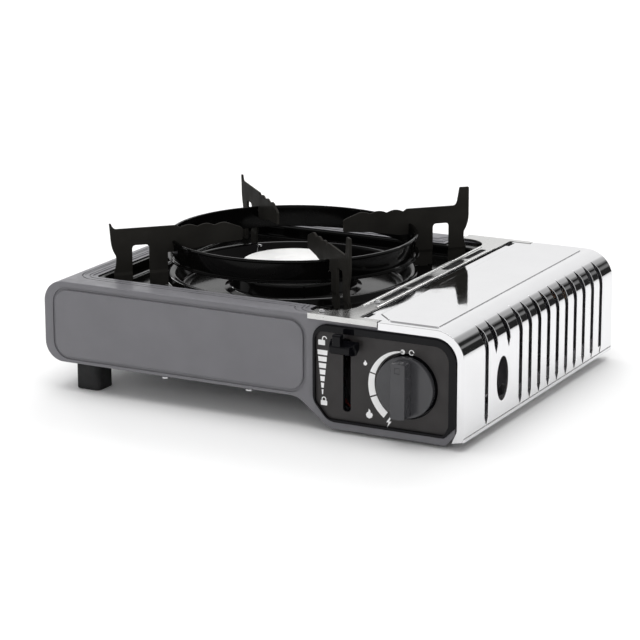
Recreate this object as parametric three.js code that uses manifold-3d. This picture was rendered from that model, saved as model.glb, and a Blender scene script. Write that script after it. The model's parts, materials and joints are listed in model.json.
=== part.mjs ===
// Portable single-burner camping stove for a bayonet gas cartridge, built as separate named pieces.
// Millimetres, +Z up, +X right and -Y towards the cook; z = 0 is the surface the stove stands on.
import * as THREE from 'three';
import { mergeVertices } from 'three/addons/utils/BufferGeometryUtils.js';
import Module from 'manifold-3d';

const wasm = await Module();
wasm.setup();

// ---------- driving dimensions ----------
const WIDTH = 340;
const DEPTH = 270;
const LEFT = -WIDTH / 2;
const RIGHT = WIDTH / 2;
const SHEET = 1.2;
const GAP = 0.3;
const FORWARD = 7.5; // half of what the knob's grip stands out beyond the lid's rim

const BODY_Y = 133.5; // half depth of the body between its front and back faces
const BODY_RIGHT = 163;
const BODY_TOP = 83;
const BODY_LOW = 22; // underside on the burner side
const TRAY_LOW = 2; // underside of the deep tray that holds the cartridge
const STEP_START = 40; // the underside starts to drop here
const STEP_END = 66;
const CORNER = 15;
const BASE_TOP = BODY_LOW + 2 * SHEET + GAP; // upper face of the bottom sheet
const TRAY_TOP = TRAY_LOW + 2 * SHEET + GAP;

const BURNER_X = -34;
const OPENING = { left: -142, right: 78, halfY: 107, cornerLeft: 42, cornerY: 120 };
const RAIL_RIGHT = 86.9; // right edge of the fixed strip between the pan and the lid

const PAN_FLOOR = 72;
const RING_RADIUS = 93.6;
const RING_TOP = 105.6;
const RING_LOW = 89;
const ARM_THICK = 1.8;
const ARM_REACH = 140;
const ARM_TOP = 117;
const CAP_RADIUS = 38.3;
const CAP_TOP = 84.6;
const ELECTRODE = { angle: 155, radius: 46 }; // about the burner's axis

const AXIS_X = 126.4; // knob, valve and cartridge share one axis along Y
const AXIS_Z = 41;
const KNOB_RADIUS = 21.7;
const PANEL = { left: 53.6, right: 164.1, low: 7.8, top: 78.1, face: -136, inner: -133 };
const SLOT = { left: 77.2, right: 82.8, low: 16.8, top: 69.2 };
const FIELD = { left: -160, right: 45.5, low: 27, top: 77, corner: 11, groove: 1.6 }; // raised front panel

const LID_LEFT = 89.6;
const LID_TOP = 84;
const LID_LOW = 6.5;
const LID_SHEET = 1;
const LID_RADIUS = 22;
const LID_RIM = 5.5;
const LID_SEAM = 104.2;
const HINGE = { x: 91.5, z: 80.5, y: 120, notch: 5.6 };
const LONG_SLOTS = [-97.5, ...Array.from({ length: 10 }, (_, i) => -39 + 16.75 * i)];
const SHORT_SLOTS = [-82, -60.5];

const TAB = { back: -136.6, front: -147.4, middle: 80.2, backHalf: 11.5, frontHalf: 7.6 };
const LIP = { low: 61.5, top: 66.4 }; // front edge of the lever's tab
const NUB = { left: 75, right: 81.2, front: -147, back: -141.6, top: 74.5 }; // upright grip on the tab
const LEVER = { y: -75, z: 43, rest: THREE.MathUtils.degToRad(20.5), crank: 12 };

// ---------- materials ----------
const finish = (color, roughness, metalness) => new THREE.MeshStandardMaterial({ color, roughness, metalness });
const FINISH = {
  greyPaint: finish(0x6d6d71, 0.5, 0.2),
  blackEnamel: finish(0x0b0b0c, 0.12, 0.1),
  chrome: finish(0xe8e8ea, 0.06, 1),
  aluminium: finish(0xc9cacc, 0.35, 1),
  zincSteel: finish(0xa9acaf, 0.4, 1),
  steel: finish(0xb9bbbd, 0.3, 1),
  brass: finish(0xb9923f, 0.3, 1),
  copper: finish(0xb56a43, 0.35, 1),
  blackPlastic: finish(0x1b1b1d, 0.35, 0),
  greyPlastic: finish(0x3d3c3e, 0.5, 0),
  rubber: finish(0x18181a, 0.8, 0),
  ceramic: finish(0xf0ede6, 0.4, 0),
  leadRed: finish(0x8e2a22, 0.5, 0),
};

// ---------- solids ----------
function solid(geometry) {
  const bare = geometry.clone();
  bare.deleteAttribute('normal');
  bare.deleteAttribute('uv');
  const merged = mergeVertices(bare, 1e-4);
  const mesh = new wasm.Mesh({
    numProp: 3,
    vertProperties: new Float32Array(merged.attributes.position.array),
    triVerts: new Uint32Array(merged.index.array),
  });
  return new wasm.Manifold(mesh);
}

function toGeometry(manifold) {
  const mesh = manifold.getMesh();
  const geometry = new THREE.BufferGeometry();
  geometry.setAttribute('position', new THREE.BufferAttribute(mesh.vertProperties, 3));
  geometry.setIndex(new THREE.BufferAttribute(mesh.triVerts, 1));
  const flat = geometry.toNonIndexed();
  flat.computeVertexNormals();
  return flat;
}

const joined = (...pieces) => pieces.reduce((a, b) => a.add(b));
const cut = (piece, ...tools) => tools.reduce((a, b) => a.subtract(b), piece);

// A closed outline from corners [u, v, radius]; a radius of 0 or none leaves the corner sharp.
function outline(corners) {
  const shape = new THREE.Shape();
  corners.forEach(([u, v, radius = 0], i) => {
    const before = corners[(i + corners.length - 1) % corners.length];
    const after = corners[(i + 1) % corners.length];
    const p = new THREE.Vector2(u, v);
    const toBefore = new THREE.Vector2(before[0], before[1]).sub(p).normalize();
    const toAfter = new THREE.Vector2(after[0], after[1]).sub(p).normalize();
    if (!radius) {
      if (i === 0) shape.moveTo(u, v);
      else shape.lineTo(u, v);
      return;
    }
    const half = Math.acos(THREE.MathUtils.clamp(toBefore.dot(toAfter), -1, 1)) / 2;
    const start = p.clone().addScaledVector(toBefore, radius / Math.tan(half));
    const bisector = toBefore.clone().add(toAfter).normalize();
    const centre = p.clone().addScaledVector(bisector, radius / Math.sin(half));
    const end = p.clone().addScaledVector(toAfter, radius / Math.tan(half));
    const clockwise = toBefore.cross(toAfter) > 0;
    if (i === 0) shape.moveTo(start.x, start.y);
    else shape.lineTo(start.x, start.y);
    const from = Math.atan2(start.y - centre.y, start.x - centre.x);
    const to = Math.atan2(end.y - centre.y, end.x - centre.x);
    shape.absarc(centre.x, centre.y, radius, from, to, clockwise);
  });
  shape.closePath();
  return shape;
}

const rectangle = (u0, u1, v0, v1, radius = 0) =>
  outline([[u0, v0, radius], [u1, v0, radius], [u1, v1, radius], [u0, v1, radius]]);

function circle(u, v, radius) {
  const shape = new THREE.Shape();
  shape.absarc(u, v, radius, 0, Math.PI * 2, false);
  return shape;
}

const AXES = {
  x: [new THREE.Vector3(0, 1, 0), new THREE.Vector3(0, 0, 1), new THREE.Vector3(1, 0, 0)],
  y: [new THREE.Vector3(1, 0, 0), new THREE.Vector3(0, 0, 1), new THREE.Vector3(0, -1, 0)],
  z: [new THREE.Vector3(1, 0, 0), new THREE.Vector3(0, 1, 0), new THREE.Vector3(0, 0, 1)],
};

// A plate cut to a shape, standing across one axis between two places on it.
// Across x the outline is drawn in (y, z), across y in (x, z), and across z in (x, y).
function plate(shape, axis, from, to, curveSegments = 4) {
  const options = { depth: Math.abs(to - from), bevelEnabled: false, curveSegments };
  const geometry = new THREE.ExtrudeGeometry(shape, options);
  geometry.applyMatrix4(new THREE.Matrix4().makeBasis(...AXES[axis]));
  const offset = axis === 'y' ? Math.max(from, to) : Math.min(from, to);
  geometry.translate(axis === 'x' ? offset : 0, axis === 'y' ? offset : 0, axis === 'z' ? offset : 0);
  return solid(geometry);
}

const block = (x0, x1, y0, y1, z0, z1) => plate(rectangle(x0, x1, y0, y1), 'z', z0, z1);

const rod = (axis, u, v, radius, from, to, curveSegments = 8) =>
  plate(circle(u, v, radius), axis, from, to, curveSegments);

// A turned piece about a vertical axis; its profile is a list of [radius, z].
function turned(profile, x, y, segments = 48) {
  const points = profile.map(([radius, z]) => new THREE.Vector2(radius, z));
  const geometry = new THREE.LatheGeometry(points, segments);
  geometry.rotateX(Math.PI / 2);
  geometry.translate(x, y, 0);
  return solid(geometry);
}

// A round tube or wire along points, with flat ends.
function wire(points, radius, steps, sides = 8) {
  const path = new THREE.CatmullRomCurve3(points.map((p) => new THREE.Vector3(...p)), false, 'centripetal');
  const section = new THREE.Shape();
  for (let i = 0; i < sides; i++) {
    const angle = (i / sides) * Math.PI * 2;
    const place = [radius * Math.cos(angle), radius * Math.sin(angle)];
    if (i === 0) section.moveTo(...place);
    else section.lineTo(...place);
  }
  section.closePath();
  return solid(new THREE.ExtrudeGeometry(section, { steps, bevelEnabled: false, extrudePath: path }));
}

const stove = new THREE.Group();

function add(name, manifold, material) {
  const mesh = new THREE.Mesh(toGeometry(manifold), material);
  mesh.name = name;
  stove.add(mesh);
}

// ---------- body ----------
// Front view of the body pulled in by `inset`: flat on the burner side, with a deep tray at the right.
function bodyOutline(inset) {
  const low = BODY_LOW + inset;
  const tray = TRAY_LOW + inset;
  const right = BODY_RIGHT - inset;
  return outline([
    [LEFT + inset, low, CORNER - inset],
    [STEP_START, low, 16 + inset],
    [STEP_END - inset, tray, 14 - inset],
    [right - 8, tray, 3],
    [right, tray + 8, 3],
    [right, BODY_TOP - inset, 18 - inset],
    [LEFT + inset, BODY_TOP - inset, CORNER + 1 - inset],
  ]);
}

const BASE_SCREWS = { front_left: -69, front_right: 0 };
const BASE_SCREW_Y = -129.8;
const baseScrewHoles = () =>
  Object.values(BASE_SCREWS).map((x) => rod('z', x, BASE_SCREW_Y, 2, BODY_LOW - 2, BASE_TOP + 2, 4));

function makeBodyShell() {
  const field = rectangle(FIELD.left, FIELD.right, FIELD.low, FIELD.top, FIELD.corner);
  const g = FIELD.groove;
  const groove = rectangle(FIELD.left - g, FIELD.right + g, FIELD.low - g, FIELD.top + g, FIELD.corner + g);
  const shell = cut(
    plate(bodyOutline(0), 'y', -BODY_Y, BODY_Y, 3),
    plate(bodyOutline(SHEET), 'y', -BODY_Y + SHEET, BODY_Y - SHEET, 3),
  );
  const { left, right, halfY, cornerLeft, cornerY } = OPENING;
  const hem = BODY_Y - 6.5;
  const opened = cut(
    shell,
    plate(rectangle(left, right, -halfY, halfY, 5), 'z', BODY_TOP - 4, BODY_TOP + 1),
    plate(rectangle(cornerLeft, right, -cornerY, cornerY, 5), 'z', BODY_TOP - 4, BODY_TOP + 1),
    block(RAIL_RIGHT, RIGHT, -BODY_Y + SHEET, BODY_Y - SHEET, BODY_TOP - 4, BODY_TOP + 1),
    block(RAIL_RIGHT, RIGHT, -DEPTH, DEPTH, BODY_TOP - SHEET - GAP, BODY_TOP + 1),
    block(-153, STEP_START, -hem, hem, 0, BODY_LOW + 4),
    block(STEP_START - 1, RIGHT, -BODY_Y + SHEET, BODY_Y - SHEET, 0, BODY_LOW + 4),
    block(120, RIGHT, -BODY_Y + SHEET, BODY_Y - SHEET, 0, BODY_TOP + 1),
    plate(rectangle(57, 160.5, 11.5, 76, 8), 'y', -DEPTH, -BODY_Y + SHEET + 1),
    ...baseScrewHoles(),
  );
  const ring = cut(
    plate(groove, 'y', -BODY_Y - 1, -BODY_Y + 0.5, 3),
    plate(field, 'y', -BODY_Y - 2, -BODY_Y + 2, 3),
  );
  return joined(cut(opened, ring), plate(field, 'y', -BODY_Y - 0.7, -BODY_Y + 0.1, 3));
}
add('body_shell', makeBodyShell(), FINISH.greyPaint);

// The bottom sheet lies inside the shell, follows its step down and turns up at the right.
function makeBasePlate() {
  const upper = SHEET + GAP;
  const strip = outline([
    [-151, BODY_LOW + upper],
    [STEP_START, BODY_LOW + upper, 16],
    [STEP_END - upper, TRAY_LOW + upper, 12],
    [BODY_RIGHT - upper - 8, TRAY_LOW + upper],
    [BODY_RIGHT - upper, TRAY_LOW + upper + 8],
    [BODY_RIGHT - upper, 18],
    [BODY_RIGHT - upper - SHEET, 18],
    [BODY_RIGHT - upper - SHEET, TRAY_LOW + upper + 8.5],
    [BODY_RIGHT - upper - 8.5, TRAY_LOW + upper + SHEET],
    [STEP_END - upper + SHEET, TRAY_LOW + upper + SHEET, 11],
    [STEP_START + SHEET, BODY_LOW + upper + SHEET, 17],
    [-151, BODY_LOW + upper + SHEET],
  ]);
  const edge = BODY_Y - SHEET - GAP;
  return cut(plate(strip, 'y', -edge, edge), ...baseScrewHoles());
}
add('base_plate', makeBasePlate(), FINISH.greyPaint);
for (const [place, x] of Object.entries(BASE_SCREWS)) {
  const screw = joined(
    rod('z', x, BASE_SCREW_Y, 3.2, BODY_LOW - GAP - 1.4, BODY_LOW - GAP, 5),
    rod('z', x, BASE_SCREW_Y, 1.6, BODY_LOW - GAP - 0.1, BASE_TOP + 2, 4),
  );
  add(`base_screw_${place}`, screw, FINISH.steel);
}

const FOOT = { left: -151, right: -130.5, y: 113, half: 10, corner: 4 };
const PAD = { x: 132, y: 108, radius: 9 };
for (const [place, side] of [['front', -1], ['rear', 1]]) {
  const y = side * FOOT.y;
  const sole = rectangle(FOOT.left, FOOT.right, y - FOOT.half, y + FOOT.half, FOOT.corner);
  add(`foot_${place}_left`, plate(sole, 'z', 0, BASE_TOP - SHEET - GAP, 3), FINISH.blackPlastic);
  const pad = rod('z', PAD.x, side * PAD.y, PAD.radius, 0, TRAY_LOW + SHEET, 6);
  add(`tray_pad_${place}`, pad, FINISH.rubber);
}

// ---------- drip pan ----------
const ARM_ANGLES = { front_right: -45, rear_right: 45, rear_left: 135, front_left: 225 };
const LEGS = [
  { inner: 97, outer: 111 },
  { inner: 124, outer: 138 },
];

function armPoint(angle, radius) {
  const a = THREE.MathUtils.degToRad(angle);
  return [BURNER_X + radius * Math.cos(a), radius * Math.sin(a)];
}

function makeDripPan() {
  const rimTop = BODY_TOP - SHEET - 0.4;
  const rim = cut(
    plate(rectangle(-145, 77, -122, 122, 8), 'z', rimTop - SHEET, rimTop),
    plate(rectangle(-140.5, 72.5, -105.5, 105.5, 8), 'z', rimTop - 3, rimTop + 1),
  );
  const wall = cut(
    plate(rectangle(-141.5, 73.5, -106.5, 106.5, 9), 'z', PAN_FLOOR - SHEET, rimTop - 0.5),
    plate(rectangle(-140.3, 72.3, -105.3, 105.3, 8), 'z', PAN_FLOOR - 3, rimTop + 1),
  );
  const floor = cut(
    plate(rectangle(-141, 73, -106, 106, 8.5), 'z', PAN_FLOOR - SHEET, PAN_FLOOR),
    rod('z', BURNER_X, 0, 97, PAN_FLOOR - 3, PAN_FLOOR + 3, 14),
  );
  const s = SHEET;
  const well = turned(
    [
      [99, -s], [99, 0], [96.5, 0], [94, 4], [91, 4.6], [88.5, 3], [83, -6], [78, -7.5], [52, -8], [47, -6],
      [43, 1.5], [40, 2.2], [35, 2.2], [35, 2.2 - s], [39.6, 2.2 - s], [42, 0.6], [46, -7], [51.6, -8 - s],
      [78.4, -7.5 - s], [83.8, -7], [89.2, 2], [91.2, 3.4], [93.4, 2.8], [96, -s], [99, -s],
    ].map(([radius, height]) => [radius, PAN_FLOOR + height]),
    BURNER_X, 0, 28,
  );
  const slots = Object.values(ARM_ANGLES).flatMap((angle) =>
    LEGS.map(({ inner, outer }) => {
      const middle = (inner + outer) / 2;
      const slot = plate(rectangle(middle - 4.5, middle + 4.5, -1.8, 1.8), 'z', PAN_FLOOR - 4, PAN_FLOOR + 1);
      return slot.rotate([0, 0, angle]).translate([BURNER_X, 0, 0]);
    }),
  );
  const electrodeAt = armPoint(ELECTRODE.angle, ELECTRODE.radius);
  const electrodeHole = rod('z', ...electrodeAt, 4.2, PAN_FLOOR - 12, PAN_FLOOR + 4, 5);
  return cut(joined(rim, wall, floor, well), ...slots, electrodeHole);
}
add('drip_pan', makeDripPan(), FINISH.blackEnamel);

// ---------- bright trim between the pan and the lid ----------
function makeTrim() {
  const plan = outline([
    [50, -134.9],
    [103.5, -134.9],
    [103.5, -129],
    [RAIL_RIGHT, -129],
    [RAIL_RIGHT, 129],
    [103.5, 129],
    [103.5, 134.9],
    [50, 134.9],
    [50, 121.5],
    [73.5, 121.5, 19],
    [73.5, -121.5, 19],
    [50, -121.5],
  ]);
  const top = BODY_TOP + GAP;
  const lips = [-1, 1].map((side) => {
    const near = side * (BODY_Y + GAP);
    const far = side * (DEPTH / 2 - 0.1);
    return block(49.5, 103.5, Math.min(near, far), Math.max(near, far), 80.4, top + 1);
  });
  const beads = [75, 85.8].map((x) => {
    const corners = [[-1.3, 0.9], [1.3, 0.9], [0.6, 1.6], [-0.6, 1.6]];
    return plate(outline(corners.map(([u, v]) => [x + u, top + v])), 'y', -100, 100);
  });
  const vents = [[-80, -41], [-37, 1], [22, 55], [60, 94]];
  const openings = vents.map(([from, to]) => plate(rectangle(78, 83, from, to, 2), 'z', top - 1, top + 3, 1));
  return cut(joined(plate(plan, 'z', top, top + 1), ...lips, ...beads), ...openings);
}
add('trim_frame', makeTrim(), FINISH.chrome);
for (const [place, x, y] of [['front', 57, -127], ['middle', 80.6, -88]]) {
  const rivet = turned([[0, 84.6], [2.4, 84.6], [2.1, 85.5], [1.2, 86], [0, 86.1]], x, y, 16);
  add(`trim_rivet_${place}`, rivet, FINISH.steel);
}

// ---------- burner ----------
function makeBurnerCap() {
  const dome = turned(
    [
      [0, -4.5], [20, -4.5], [20, -6.5], [36, -6.5], [CAP_RADIUS, -4.5], [CAP_RADIUS, -2], [CAP_RADIUS - 1.5, -0.6],
      [30, 0], [0, 0],
    ].map(([radius, height]) => [radius, CAP_TOP + height]),
    BURNER_X, 0, 24,
  );
  const ports = Array.from({ length: 16 }, (_, i) => {
    const port = block(31, 41, -1.1, 1.1, CAP_TOP - 8, CAP_TOP - 4.8);
    return port.rotate([0, 0, i * 22.5]).translate([BURNER_X, 0, 0]);
  });
  return cut(dome, ...ports);
}
add('burner_cap', makeBurnerCap(), FINISH.aluminium);

const BURNER_LOW = 46;
const MIXER = { from: -20.5, to: 34, z: 52.5 };
function makeBurnerBody() {
  const cup = turned(
    [
      [0, BURNER_LOW], [12, BURNER_LOW], [14, 56], [30, 68], [33, 72], [33, CAP_TOP - 6.8],
      [29, CAP_TOP - 6.8], [26, 70], [12, 60], [9, 52], [0, 52],
    ],
    BURNER_X, 0, 20,
  );
  return cut(cup, rod('x', 0, MIXER.z, 8.7, BURNER_X, BURNER_X + 40, 8));
}
add('burner_body', makeBurnerBody(), FINISH.aluminium);

// The mixer tube meets the burner body at its right and narrows to a throat behind the jet.
function makeMixerTube() {
  const length = MIXER.to - MIXER.from;
  const profile = [
    [5, 0], [8.2, 0], [8.2, 6], [6.4, 22], [6.4, 40], [9.5, 52], [9.5, length], [7.5, length], [7.5, 51], [4.4, 40],
    [4.4, 22], [5, 0],
  ];
  const points = profile.map(([radius, z]) => new THREE.Vector2(radius, z));
  const geometry = new THREE.LatheGeometry(points, 14);
  geometry.applyMatrix4(new THREE.Matrix4().makeBasis(
    new THREE.Vector3(0, 1, 0), new THREE.Vector3(1, 0, 0), new THREE.Vector3(0, 0, -1)));
  geometry.translate(MIXER.from + 1.5, 0, MIXER.z);
  return solid(geometry);
}
add('mixer_tube', makeMixerTube(), FINISH.aluminium);

const jet = joined(rod('x', 0, MIXER.z, 3, 38, 47, 6), rod('x', 0, MIXER.z, 4.6, 41, 46, 3));
add('jet_nozzle', cut(jet, rod('x', 0, MIXER.z, 0.8, 37, 48, 3)), FINISH.brass);

const burnerBracket = joined(
  block(-58, -19.5, -9, 9, BASE_TOP + GAP, BASE_TOP + GAP + 1.5),
  block(-58, -56.5, -9, 9, BASE_TOP + GAP, BURNER_LOW - GAP),
  block(-21, -19.5, -9, 9, BASE_TOP + GAP, BURNER_LOW - GAP),
  block(-58, -19.5, -9, 9, BURNER_LOW - GAP - 1.5, BURNER_LOW - GAP),
);
add('burner_bracket', burnerBracket, FINISH.zincSteel);

// ---------- pan support ----------
const ringProfile = [
  [RING_RADIUS - 2.8, RING_LOW], [RING_RADIUS + 1, RING_LOW], [RING_RADIUS + 1, RING_LOW + 1.2],
  [RING_RADIUS - 1.6, RING_LOW + 1.2], [RING_RADIUS - 0.6, RING_TOP - 2], [RING_RADIUS, RING_TOP - 0.8],
  [RING_RADIUS - 0.8, RING_TOP], [RING_RADIUS - 2.2, RING_TOP - 0.6], [RING_RADIUS - 1.8, RING_TOP - 2],
  [RING_RADIUS - 2.8, RING_LOW],
];
const armSlots = Object.values(ARM_ANGLES).map((angle) => {
  const slot = block(80, 100, -ARM_THICK / 2 - GAP, ARM_THICK / 2 + GAP, RING_LOW + 7.7, RING_TOP + 2);
  return slot.rotate([0, 0, angle]).translate([BURNER_X, 0, 0]);
});
add('support_ring', cut(turned(ringProfile, BURNER_X, 0, 32), ...armSlots), FINISH.blackEnamel);

// Side view of an arm in (radius, z). Two arms end in a tall horn and two in a short one.
function armOutline(tall) {
  const shape = new THREE.Shape();
  const low = PAN_FLOOR + GAP;
  shape.moveTo(39.5, 111.5);
  shape.lineTo(50, 115.8);
  const crests = 3;
  const pitch = (90 - 50) / crests;
  for (let i = 0; i < crests; i++) {
    const from = 50 + i * pitch;
    shape.quadraticCurveTo(from + pitch * 0.35, ARM_TOP + 1, from + pitch * 0.8, ARM_TOP - 1.4);
    shape.lineTo(from + pitch, ARM_TOP - (i === crests - 1 ? 0 : 1));
  }
  if (tall) {
    shape.lineTo(127.5, ARM_TOP);
    shape.quadraticCurveTo(130, ARM_TOP, 130.8, 121);
    shape.lineTo(132.6, 131);
    shape.lineTo(ARM_REACH, 131);
  } else {
    shape.lineTo(137, ARM_TOP);
    shape.quadraticCurveTo(138.6, 118.2, 139.4, 121.5);
    shape.lineTo(ARM_REACH + 1, 121.5);
  }
  shape.lineTo(ARM_REACH, 109);
  shape.bezierCurveTo(ARM_REACH, 103, ARM_REACH - 4, 100, ARM_REACH - 4, 94);
  shape.bezierCurveTo(ARM_REACH - 4, 90, 138, 87, 138, 84);
  for (const { inner, outer } of [...LEGS].reverse()) {
    const middle = (inner + outer) / 2;
    shape.lineTo(outer, low);
    shape.lineTo(middle + 3.5, low);
    shape.lineTo(middle + 3.5, low - 5);
    shape.lineTo(middle - 3.5, low - 5);
    shape.lineTo(middle - 3.5, low);
    shape.lineTo(inner, low);
    if (inner === LEGS[1].inner) {
      shape.lineTo(inner, 101);
      shape.quadraticCurveTo(inner, 104, inner - 3, 104);
      shape.lineTo(LEGS[0].outer + 3, 104);
      shape.quadraticCurveTo(LEGS[0].outer, 104, LEGS[0].outer, 101);
    }
  }
  shape.lineTo(LEGS[0].inner, RING_LOW + 8);
  shape.lineTo(84, RING_LOW + 8);
  shape.lineTo(60, 101);
  shape.lineTo(39, 102.5);
  shape.closePath();
  return shape;
}
for (const [place, angle] of Object.entries(ARM_ANGLES)) {
  const tall = place.endsWith('right');
  const arm = plate(armOutline(tall), 'y', -ARM_THICK / 2, ARM_THICK / 2, 3);
  const placed = arm.rotate([0, 0, angle]).translate([BURNER_X, 0, 0]);
  add(`support_arm_${place}`, placed, FINISH.blackEnamel);
}

// ---------- divider and cartridge compartment ----------
const SHIELD = { x: RAIL_RIGHT - 1, front: -48 };
const heatShield = joined(
  plate(rectangle(SHIELD.front, 131, TRAY_TOP + GAP, BODY_TOP - SHEET - GAP), 'x', SHIELD.x, SHIELD.x + 1),
  block(SHIELD.x + 0.5, SHIELD.x + 8, SHIELD.front, 131, TRAY_TOP + GAP, TRAY_TOP + GAP + 1),
);
const shieldVents = Array.from({ length: 4 }, (_, i) =>
  plate(rectangle(52 + i * 18, 62 + i * 18, 30, 66, 4), 'x', SHIELD.x - 3, SHIELD.x + 4, 2));
const conductorWindow = plate(rectangle(8, 36, 50, 62), 'x', SHIELD.x - 3, SHIELD.x + 4);
add('heat_shield', cut(heatShield, conductorWindow, ...shieldVents), FINISH.zincSteel);

const conductor = joined(
  block(-8, 91, 12, 32, 56, 57.5),
  block(89.5, 91, 12, 32, 34, 57.5),
);
add('heat_conductor', conductor, FINISH.copper);

for (const [place, y] of [['front', -30], ['rear', 92]]) {
  const saddle = cut(
    plate(rectangle(99, 152.4, TRAY_TOP + GAP, 20, 2), 'y', y, y + 2),
    rod('y', AXIS_X, AXIS_Z, 33.5, y - 3, y + 6, 12),
  );
  add(`cartridge_saddle_${place}`, saddle, FINISH.zincSteel);
}

const leafShape = new THREE.Shape();
leafShape.moveTo(129.5, TRAY_TOP + GAP);
leafShape.lineTo(130.5, TRAY_TOP + GAP);
leafShape.lineTo(130.5, 26);
leafShape.quadraticCurveTo(119, 42, 126.5, 58);
leafShape.lineTo(125.6, 58.6);
leafShape.quadraticCurveTo(117.6, 42, 129.5, 25.6);
leafShape.closePath();
add('retaining_spring', plate(leafShape, 'x', AXIS_X - 11, AXIS_X + 11, 5), FINISH.steel);

// ---------- control panel ----------
function makePanel() {
  const { left, right, low, top, face, inner } = PANEL;
  const border = (pull) => outline([
    [left + pull * 0.4, low + 14, 12 - pull],
    [left + 12, low + pull * 0.4, 12 - pull],
    [right - 9, low + pull * 0.4, 3],
    [right - pull, low + 9, 3],
    [right - pull, top - pull, 16.4 - pull],
    [left + pull * 0.4, top - pull, 12 - pull],
  ]);
  const hole = outline([
    [SLOT.left, SLOT.low, 2],
    [SLOT.right, SLOT.low, 2],
    [SLOT.right, SLOT.top, 2],
    [SLOT.left, SLOT.top, 2],
  ]);
  const frame = cut(
    plate(border(0), 'y', face, inner - 0.8, 3),
    plate(border(5.5), 'y', face - 1, inner + 4, 3),
  );
  const insert = plate(rectangle(58, 159.5, 12.5, 75, 7), 'y', inner - 0.9, inner + 2.6);
  const facePlate = plate(border(4), 'y', inner - 0.9, inner - 0.7, 3);
  const body = joined(frame, facePlate, insert);
  return cut(
    body,
    plate(hole, 'y', face - 2, inner + 6, 2),
    rod('y', AXIS_X, AXIS_Z, 4.5, face - 2, inner + 6, 6),
  );
}
add('control_panel', makePanel(), FINISH.blackPlastic);

// ---------- knob, valve and regulator ----------
const KNOB_BACK = PANEL.inner - 1.5;
const KNOB_FACE = -138.6;
const KNOB_GRIP = -150;
function makeKnob() {
  const disc = rod('y', AXIS_X, AXIS_Z, KNOB_RADIUS, KNOB_FACE, KNOB_BACK, 16);
  const bevel = rod('y', AXIS_X, AXIS_Z, KNOB_RADIUS - 1.2, KNOB_FACE - 0.8, KNOB_FACE + 0.5, 16);
  const barFace = rectangle(AXIS_X - 5.5, AXIS_X + 5.5, AXIS_Z - 25, AXIS_Z + 25);
  const bar = plate(barFace, 'y', KNOB_GRIP, KNOB_FACE + 0.5);
  const grip = bar.intersect(rod('y', AXIS_X, AXIS_Z, KNOB_RADIUS - 1, KNOB_GRIP - 1, KNOB_FACE + 1, 16));
  const socket = rod('y', AXIS_X, AXIS_Z, 3.3, -146, KNOB_BACK + 1, 6);
  return cut(joined(disc, bevel, grip), socket);
}
add('control_knob', makeKnob(), FINISH.greyPlastic);
add('valve_stem', rod('y', AXIS_X, AXIS_Z, 3, -145.5, -98, 6), FINISH.brass);

// The cam sits on the stem and presses the igniter's plunger at the end of the knob's turn.
const CAM = { front: -126.5, back: -121.5, reach: 16, start: 120 };
const camShape = outline([[-6, -2.5, 1], [CAM.reach, -2.5, 2], [CAM.reach, 2.5, 2], [-6, 2.5, 1]]);
const camArm = plate(camShape, 'y', CAM.front, CAM.back, 2);
const cam = cut(
  joined(camArm.rotate([0, -CAM.start, 0]).translate([AXIS_X, 0, AXIS_Z]),
    rod('y', AXIS_X, AXIS_Z, 6.5, CAM.front, CAM.back, 6)),
  rod('y', AXIS_X, AXIS_Z, 3.3, CAM.front - 1, CAM.back + 1, 6),
);
add('ignition_cam', cam, FINISH.greyPlastic);

const BRACKET_Y = -114;
const GUIDE_RODS = { left: 104, right: 150 };
const GUIDE_Z = 16;
const guideHoles = (from, to) => Object.values(GUIDE_RODS).map((x) => rod('y', x, GUIDE_Z, 2, from, to, 5));
const REG_SCREWS = { left: AXIS_X - 16, right: AXIS_X + 16 };
const REG_SCREW_Z = AXIS_Z + 12;
const regulatorScrewHoles = (from, to) =>
  Object.values(REG_SCREWS).map((x) => rod('y', x, REG_SCREW_Z, 1.9, from, to, 4));
const bracket = cut(
  joined(
    plate(rectangle(94, 152.4, TRAY_TOP + GAP, 72, 3), 'y', BRACKET_Y, BRACKET_Y + 1.5),
    block(94, 152.4, BRACKET_Y, BRACKET_Y + 12, TRAY_TOP + GAP, TRAY_TOP + GAP + 1.5),
  ),
  rod('y', AXIS_X, AXIS_Z, 10.5, BRACKET_Y - 2, BRACKET_Y + 4, 8),
  ...guideHoles(BRACKET_Y - 2, BRACKET_Y + 4),
  ...regulatorScrewHoles(BRACKET_Y - 2, BRACKET_Y + 4),
);
add('regulator_bracket', bracket, FINISH.zincSteel);

const OUTLET = { y: -91, z: AXIS_Z - 16 };
const REG_FRONT = BRACKET_Y + 1.5 + GAP;
const REG_BACK = -86;
const DIAPHRAGM = { x: 104, y: -99 };
function makeRegulatorBody() {
  const body = joined(
    rod('y', AXIS_X, AXIS_Z, 10, BRACKET_Y - 4, REG_FRONT + 4, 8),
    rod('y', AXIS_X, AXIS_Z, 20, REG_FRONT, REG_FRONT + 5, 12),
    rod('y', AXIS_X, AXIS_Z, 15, REG_FRONT + 1, REG_BACK, 10),
    rod('x', DIAPHRAGM.y, AXIS_Z, 13, DIAPHRAGM.x, AXIS_X, 10),
    rod('x', OUTLET.y, OUTLET.z, 4, 110, AXIS_X, 5),
  );
  return cut(
    body,
    rod('y', AXIS_X, AXIS_Z, 3.3, -125, -96, 6),
    rod('y', AXIS_X, AXIS_Z, 5, -95, -80, 6),
    ...regulatorScrewHoles(-125, -100),
  );
}
add('regulator_body', makeRegulatorBody(), FINISH.zincSteel);

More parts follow.
